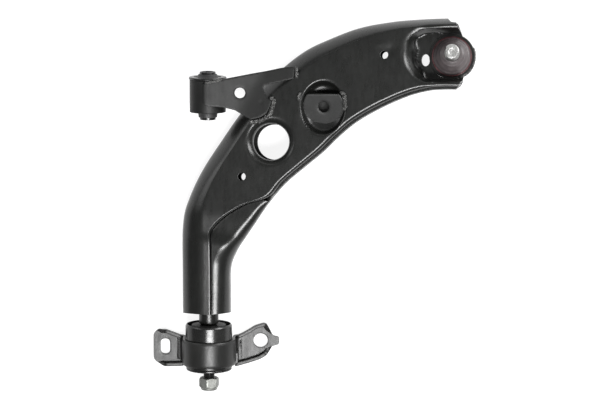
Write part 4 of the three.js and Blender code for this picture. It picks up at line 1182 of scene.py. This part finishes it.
def inward_of(loop):
    """Unit steps from each point of a closed loop towards its inside."""
    ahead = np.roll(loop, -1, axis=0) - np.roll(loop, 1, axis=0)
    ahead /= np.maximum(np.linalg.norm(ahead, axis=1), 1e-9)[:, None]
    return np.column_stack([-ahead[:, 1], ahead[:, 0]])


EDGE_HEIGHT = 11.0


def turned_up(front, rear, outer, fade):
    """The height of an ear's edges ahead of 'front' and behind 'rear', fading out towards 'outer'."""
    def height(x, y):
        across = min(max(abs(x) - 29, 0), 1) * min(max((outer - abs(x)) / fade, 0), 1)
        return EDGE_HEIGHT * across if (y > front or y < rear) else 0.0

    return height


def make_rear_bracket():
    """The body-side bracket: a slotted ear, a round-holed ear and the strap between them."""
    slot = resample(rounded([(-48.6, 5), (-60.2, 5), (-60.2, -14.2), (-48.6, -14.2)], 5.8, 10), 0.8)
    ear("left_ear", LEFT_EAR, slot, turned_up(8, -24, 62, 6))
    ear("right_ear", RIGHT_EAR, circle_points(63, 2.6, 8.8, 0.8), turned_up(8, -7, 76, 5))
    make_strap()


def make_strap():
    """The strap over the bush, with its feet turned out into the ears."""
    r = STRAP_R
    foot = EAR_LEVEL
    bend = 4.0
    path = [(r + 8, foot), (r + bend, foot)]
    for k in range(1, 7):
        q = k / 6 * math.pi / 2
        path.append((r + bend - bend * math.sin(q), foot + bend - bend * math.cos(q)))
    path.append((r, foot / 2))
    for k in range(73):
        q = math.pi * k / 72
        path.append((r * math.cos(q), r * math.sin(q)))
    path += [(-x, z) for x, z in reversed(path[:9])]
    count = len(path)
    rows = 26
    verts = []
    for i in range(rows):
        s = i / (rows - 1)
        for x, z in path:
            y = STRAP_REAR + (STRAP_FRONT - STRAP_REAR) * s
            # both edges are rolled in slightly over the crown
            roll = 0.9 * math.exp(-((1 - s) / 0.06) ** 2) + 0.7 * math.exp(-(s / 0.06) ** 2)
            k = 1 - roll / r if z > -18 else 1
            verts.append((x * k, y, z * k if z > 0 else z))
    piece = put("strap", verts, grid_faces(rows, count), AXIS, BRACKET, body="rear_mount",
                stands_for=["rear_bracket"], slot="arm_paint")
    face_sheet(piece, up=True)
    thicken(piece, STRAP_WALL - 0.1, 0.8)


# ---- Stage -------------------------------------------------------------------------------------------
VIEW_BACK = Vector((0, math.sin(math.radians(9.6)), math.cos(math.radians(9.6))))
VIEW_CENTRE = Vector((-15.2, 7.2, 29.2)) * MM
VIEW_WIDTH = 0.729
CAMERA_DISTANCE = 3.6
SENSOR_WIDTH = 36
FLOOR_REACH = 30
FLOOR_DROP = 0.0004
FLOOR_GLOW = 0.88
WORLD_GLOW = 0.22


def make_camera():
    """A long lens that frames the arm as the photo does."""
    data = bpy.data.cameras.new("camera")
    data.sensor_width = SENSOR_WIDTH
    data.lens = SENSOR_WIDTH * CAMERA_DISTANCE / VIEW_WIDTH
    data.clip_end = 60
    camera = bpy.data.objects.new("camera", data)
    bpy.context.scene.collection.objects.link(camera)
    up = Vector((0, VIEW_BACK.z, -VIEW_BACK.y))
    side = up.cross(VIEW_BACK)
    turn = Matrix((side, up, VIEW_BACK)).transposed().to_4x4()
    camera.matrix_world = Matrix.Translation(VIEW_CENTRE + VIEW_BACK * CAMERA_DISTANCE) @ turn
    bpy.context.scene.camera = camera


def softbox(name, right, up, distance, size, power):
    """A soft light at angles right of and above the line from the object to the camera."""
    data = bpy.data.lights.new(name, "AREA")
    data.shape = "RECTANGLE"
    data.size, data.size_y = size
    data.energy = power
    light = bpy.data.objects.new(name, data)
    bpy.context.scene.collection.objects.link(light)
    top = Vector((0, VIEW_BACK.z, -VIEW_BACK.y))
    side = top.cross(VIEW_BACK)
    a, b = math.radians(right), math.radians(up)
    away = (side * math.sin(a) * math.cos(b) + top * math.sin(b) + VIEW_BACK * math.cos(a) * math.cos(b))
    light.location = VIEW_CENTRE + away * distance
    light.rotation_euler = away.to_track_quat("Z", "Y").to_euler()


def make_stage():
    """The floor, the dim world and the four lights."""
    reach = FLOOR_REACH
    mesh = bpy.data.meshes.new("floor")
    mesh.from_pydata([(-reach, -reach, 0), (reach, -reach, 0), (reach, reach, 0), (-reach, reach, 0)], [],
                     [(0, 1, 2, 3)])
    floor = bpy.data.objects.new("floor", mesh)
    floor.location.z = CAD_BOX[0][2] - FLOOR_DROP
    bpy.context.scene.collection.objects.link(floor)
    p = Paint("floor_card", (0.18, 0.18, 0.18), 0.9)
    p.set(p.shader, {"Emission Color": (1, 1, 1, 1), "Emission Strength": FLOOR_GLOW})
    p.base(p.colours(p.noise(160, 2), [(0.3, (0.17, 0.17, 0.17)), (0.7, (0.19, 0.19, 0.19))]))
    mesh.materials.append(p.material)
    world = bpy.data.worlds.new("studio")
    bpy.context.scene.world = world
    world.use_nodes = True
    background = world.node_tree.nodes["Background"]
    background.inputs["Color"].default_value = (1, 1, 1, 1)
    background.inputs["Strength"].default_value = WORLD_GLOW
    softbox("low_box", 4, -24, 2.0, (0.95, 0.5), 72)
    softbox("right_box", 52, 22, 1.8, (0.8, 1.2), 48)
    softbox("left_box", -58, 20, 1.8, (0.5, 1.2), 7)
    softbox("top_strip", 0, 55, 2.2, (2.6, 0.3), 5)
    bpy.context.scene.view_settings.view_transform = "Standard"


make_camera()
make_upper()
make_lower()
make_nose()
make_front_bush()
make_bracket()
make_link()
make_housing()
make_stud()
make_boot()
make_rear_bush()
make_nut()
make_rear_bracket()
FRAME_LEFT = {"ball_seat": LINER}
for node_name, material in FRAME_LEFT.items():
    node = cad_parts[node_name]
    for slot_number in range(len(node.material_slots)):
        node.material_slots[slot_number].material = material
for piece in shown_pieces():
    if piece.data.materials[0] in (ARM, DULL, BRACKET, WELD):
        square_up(piece)
make_stage()
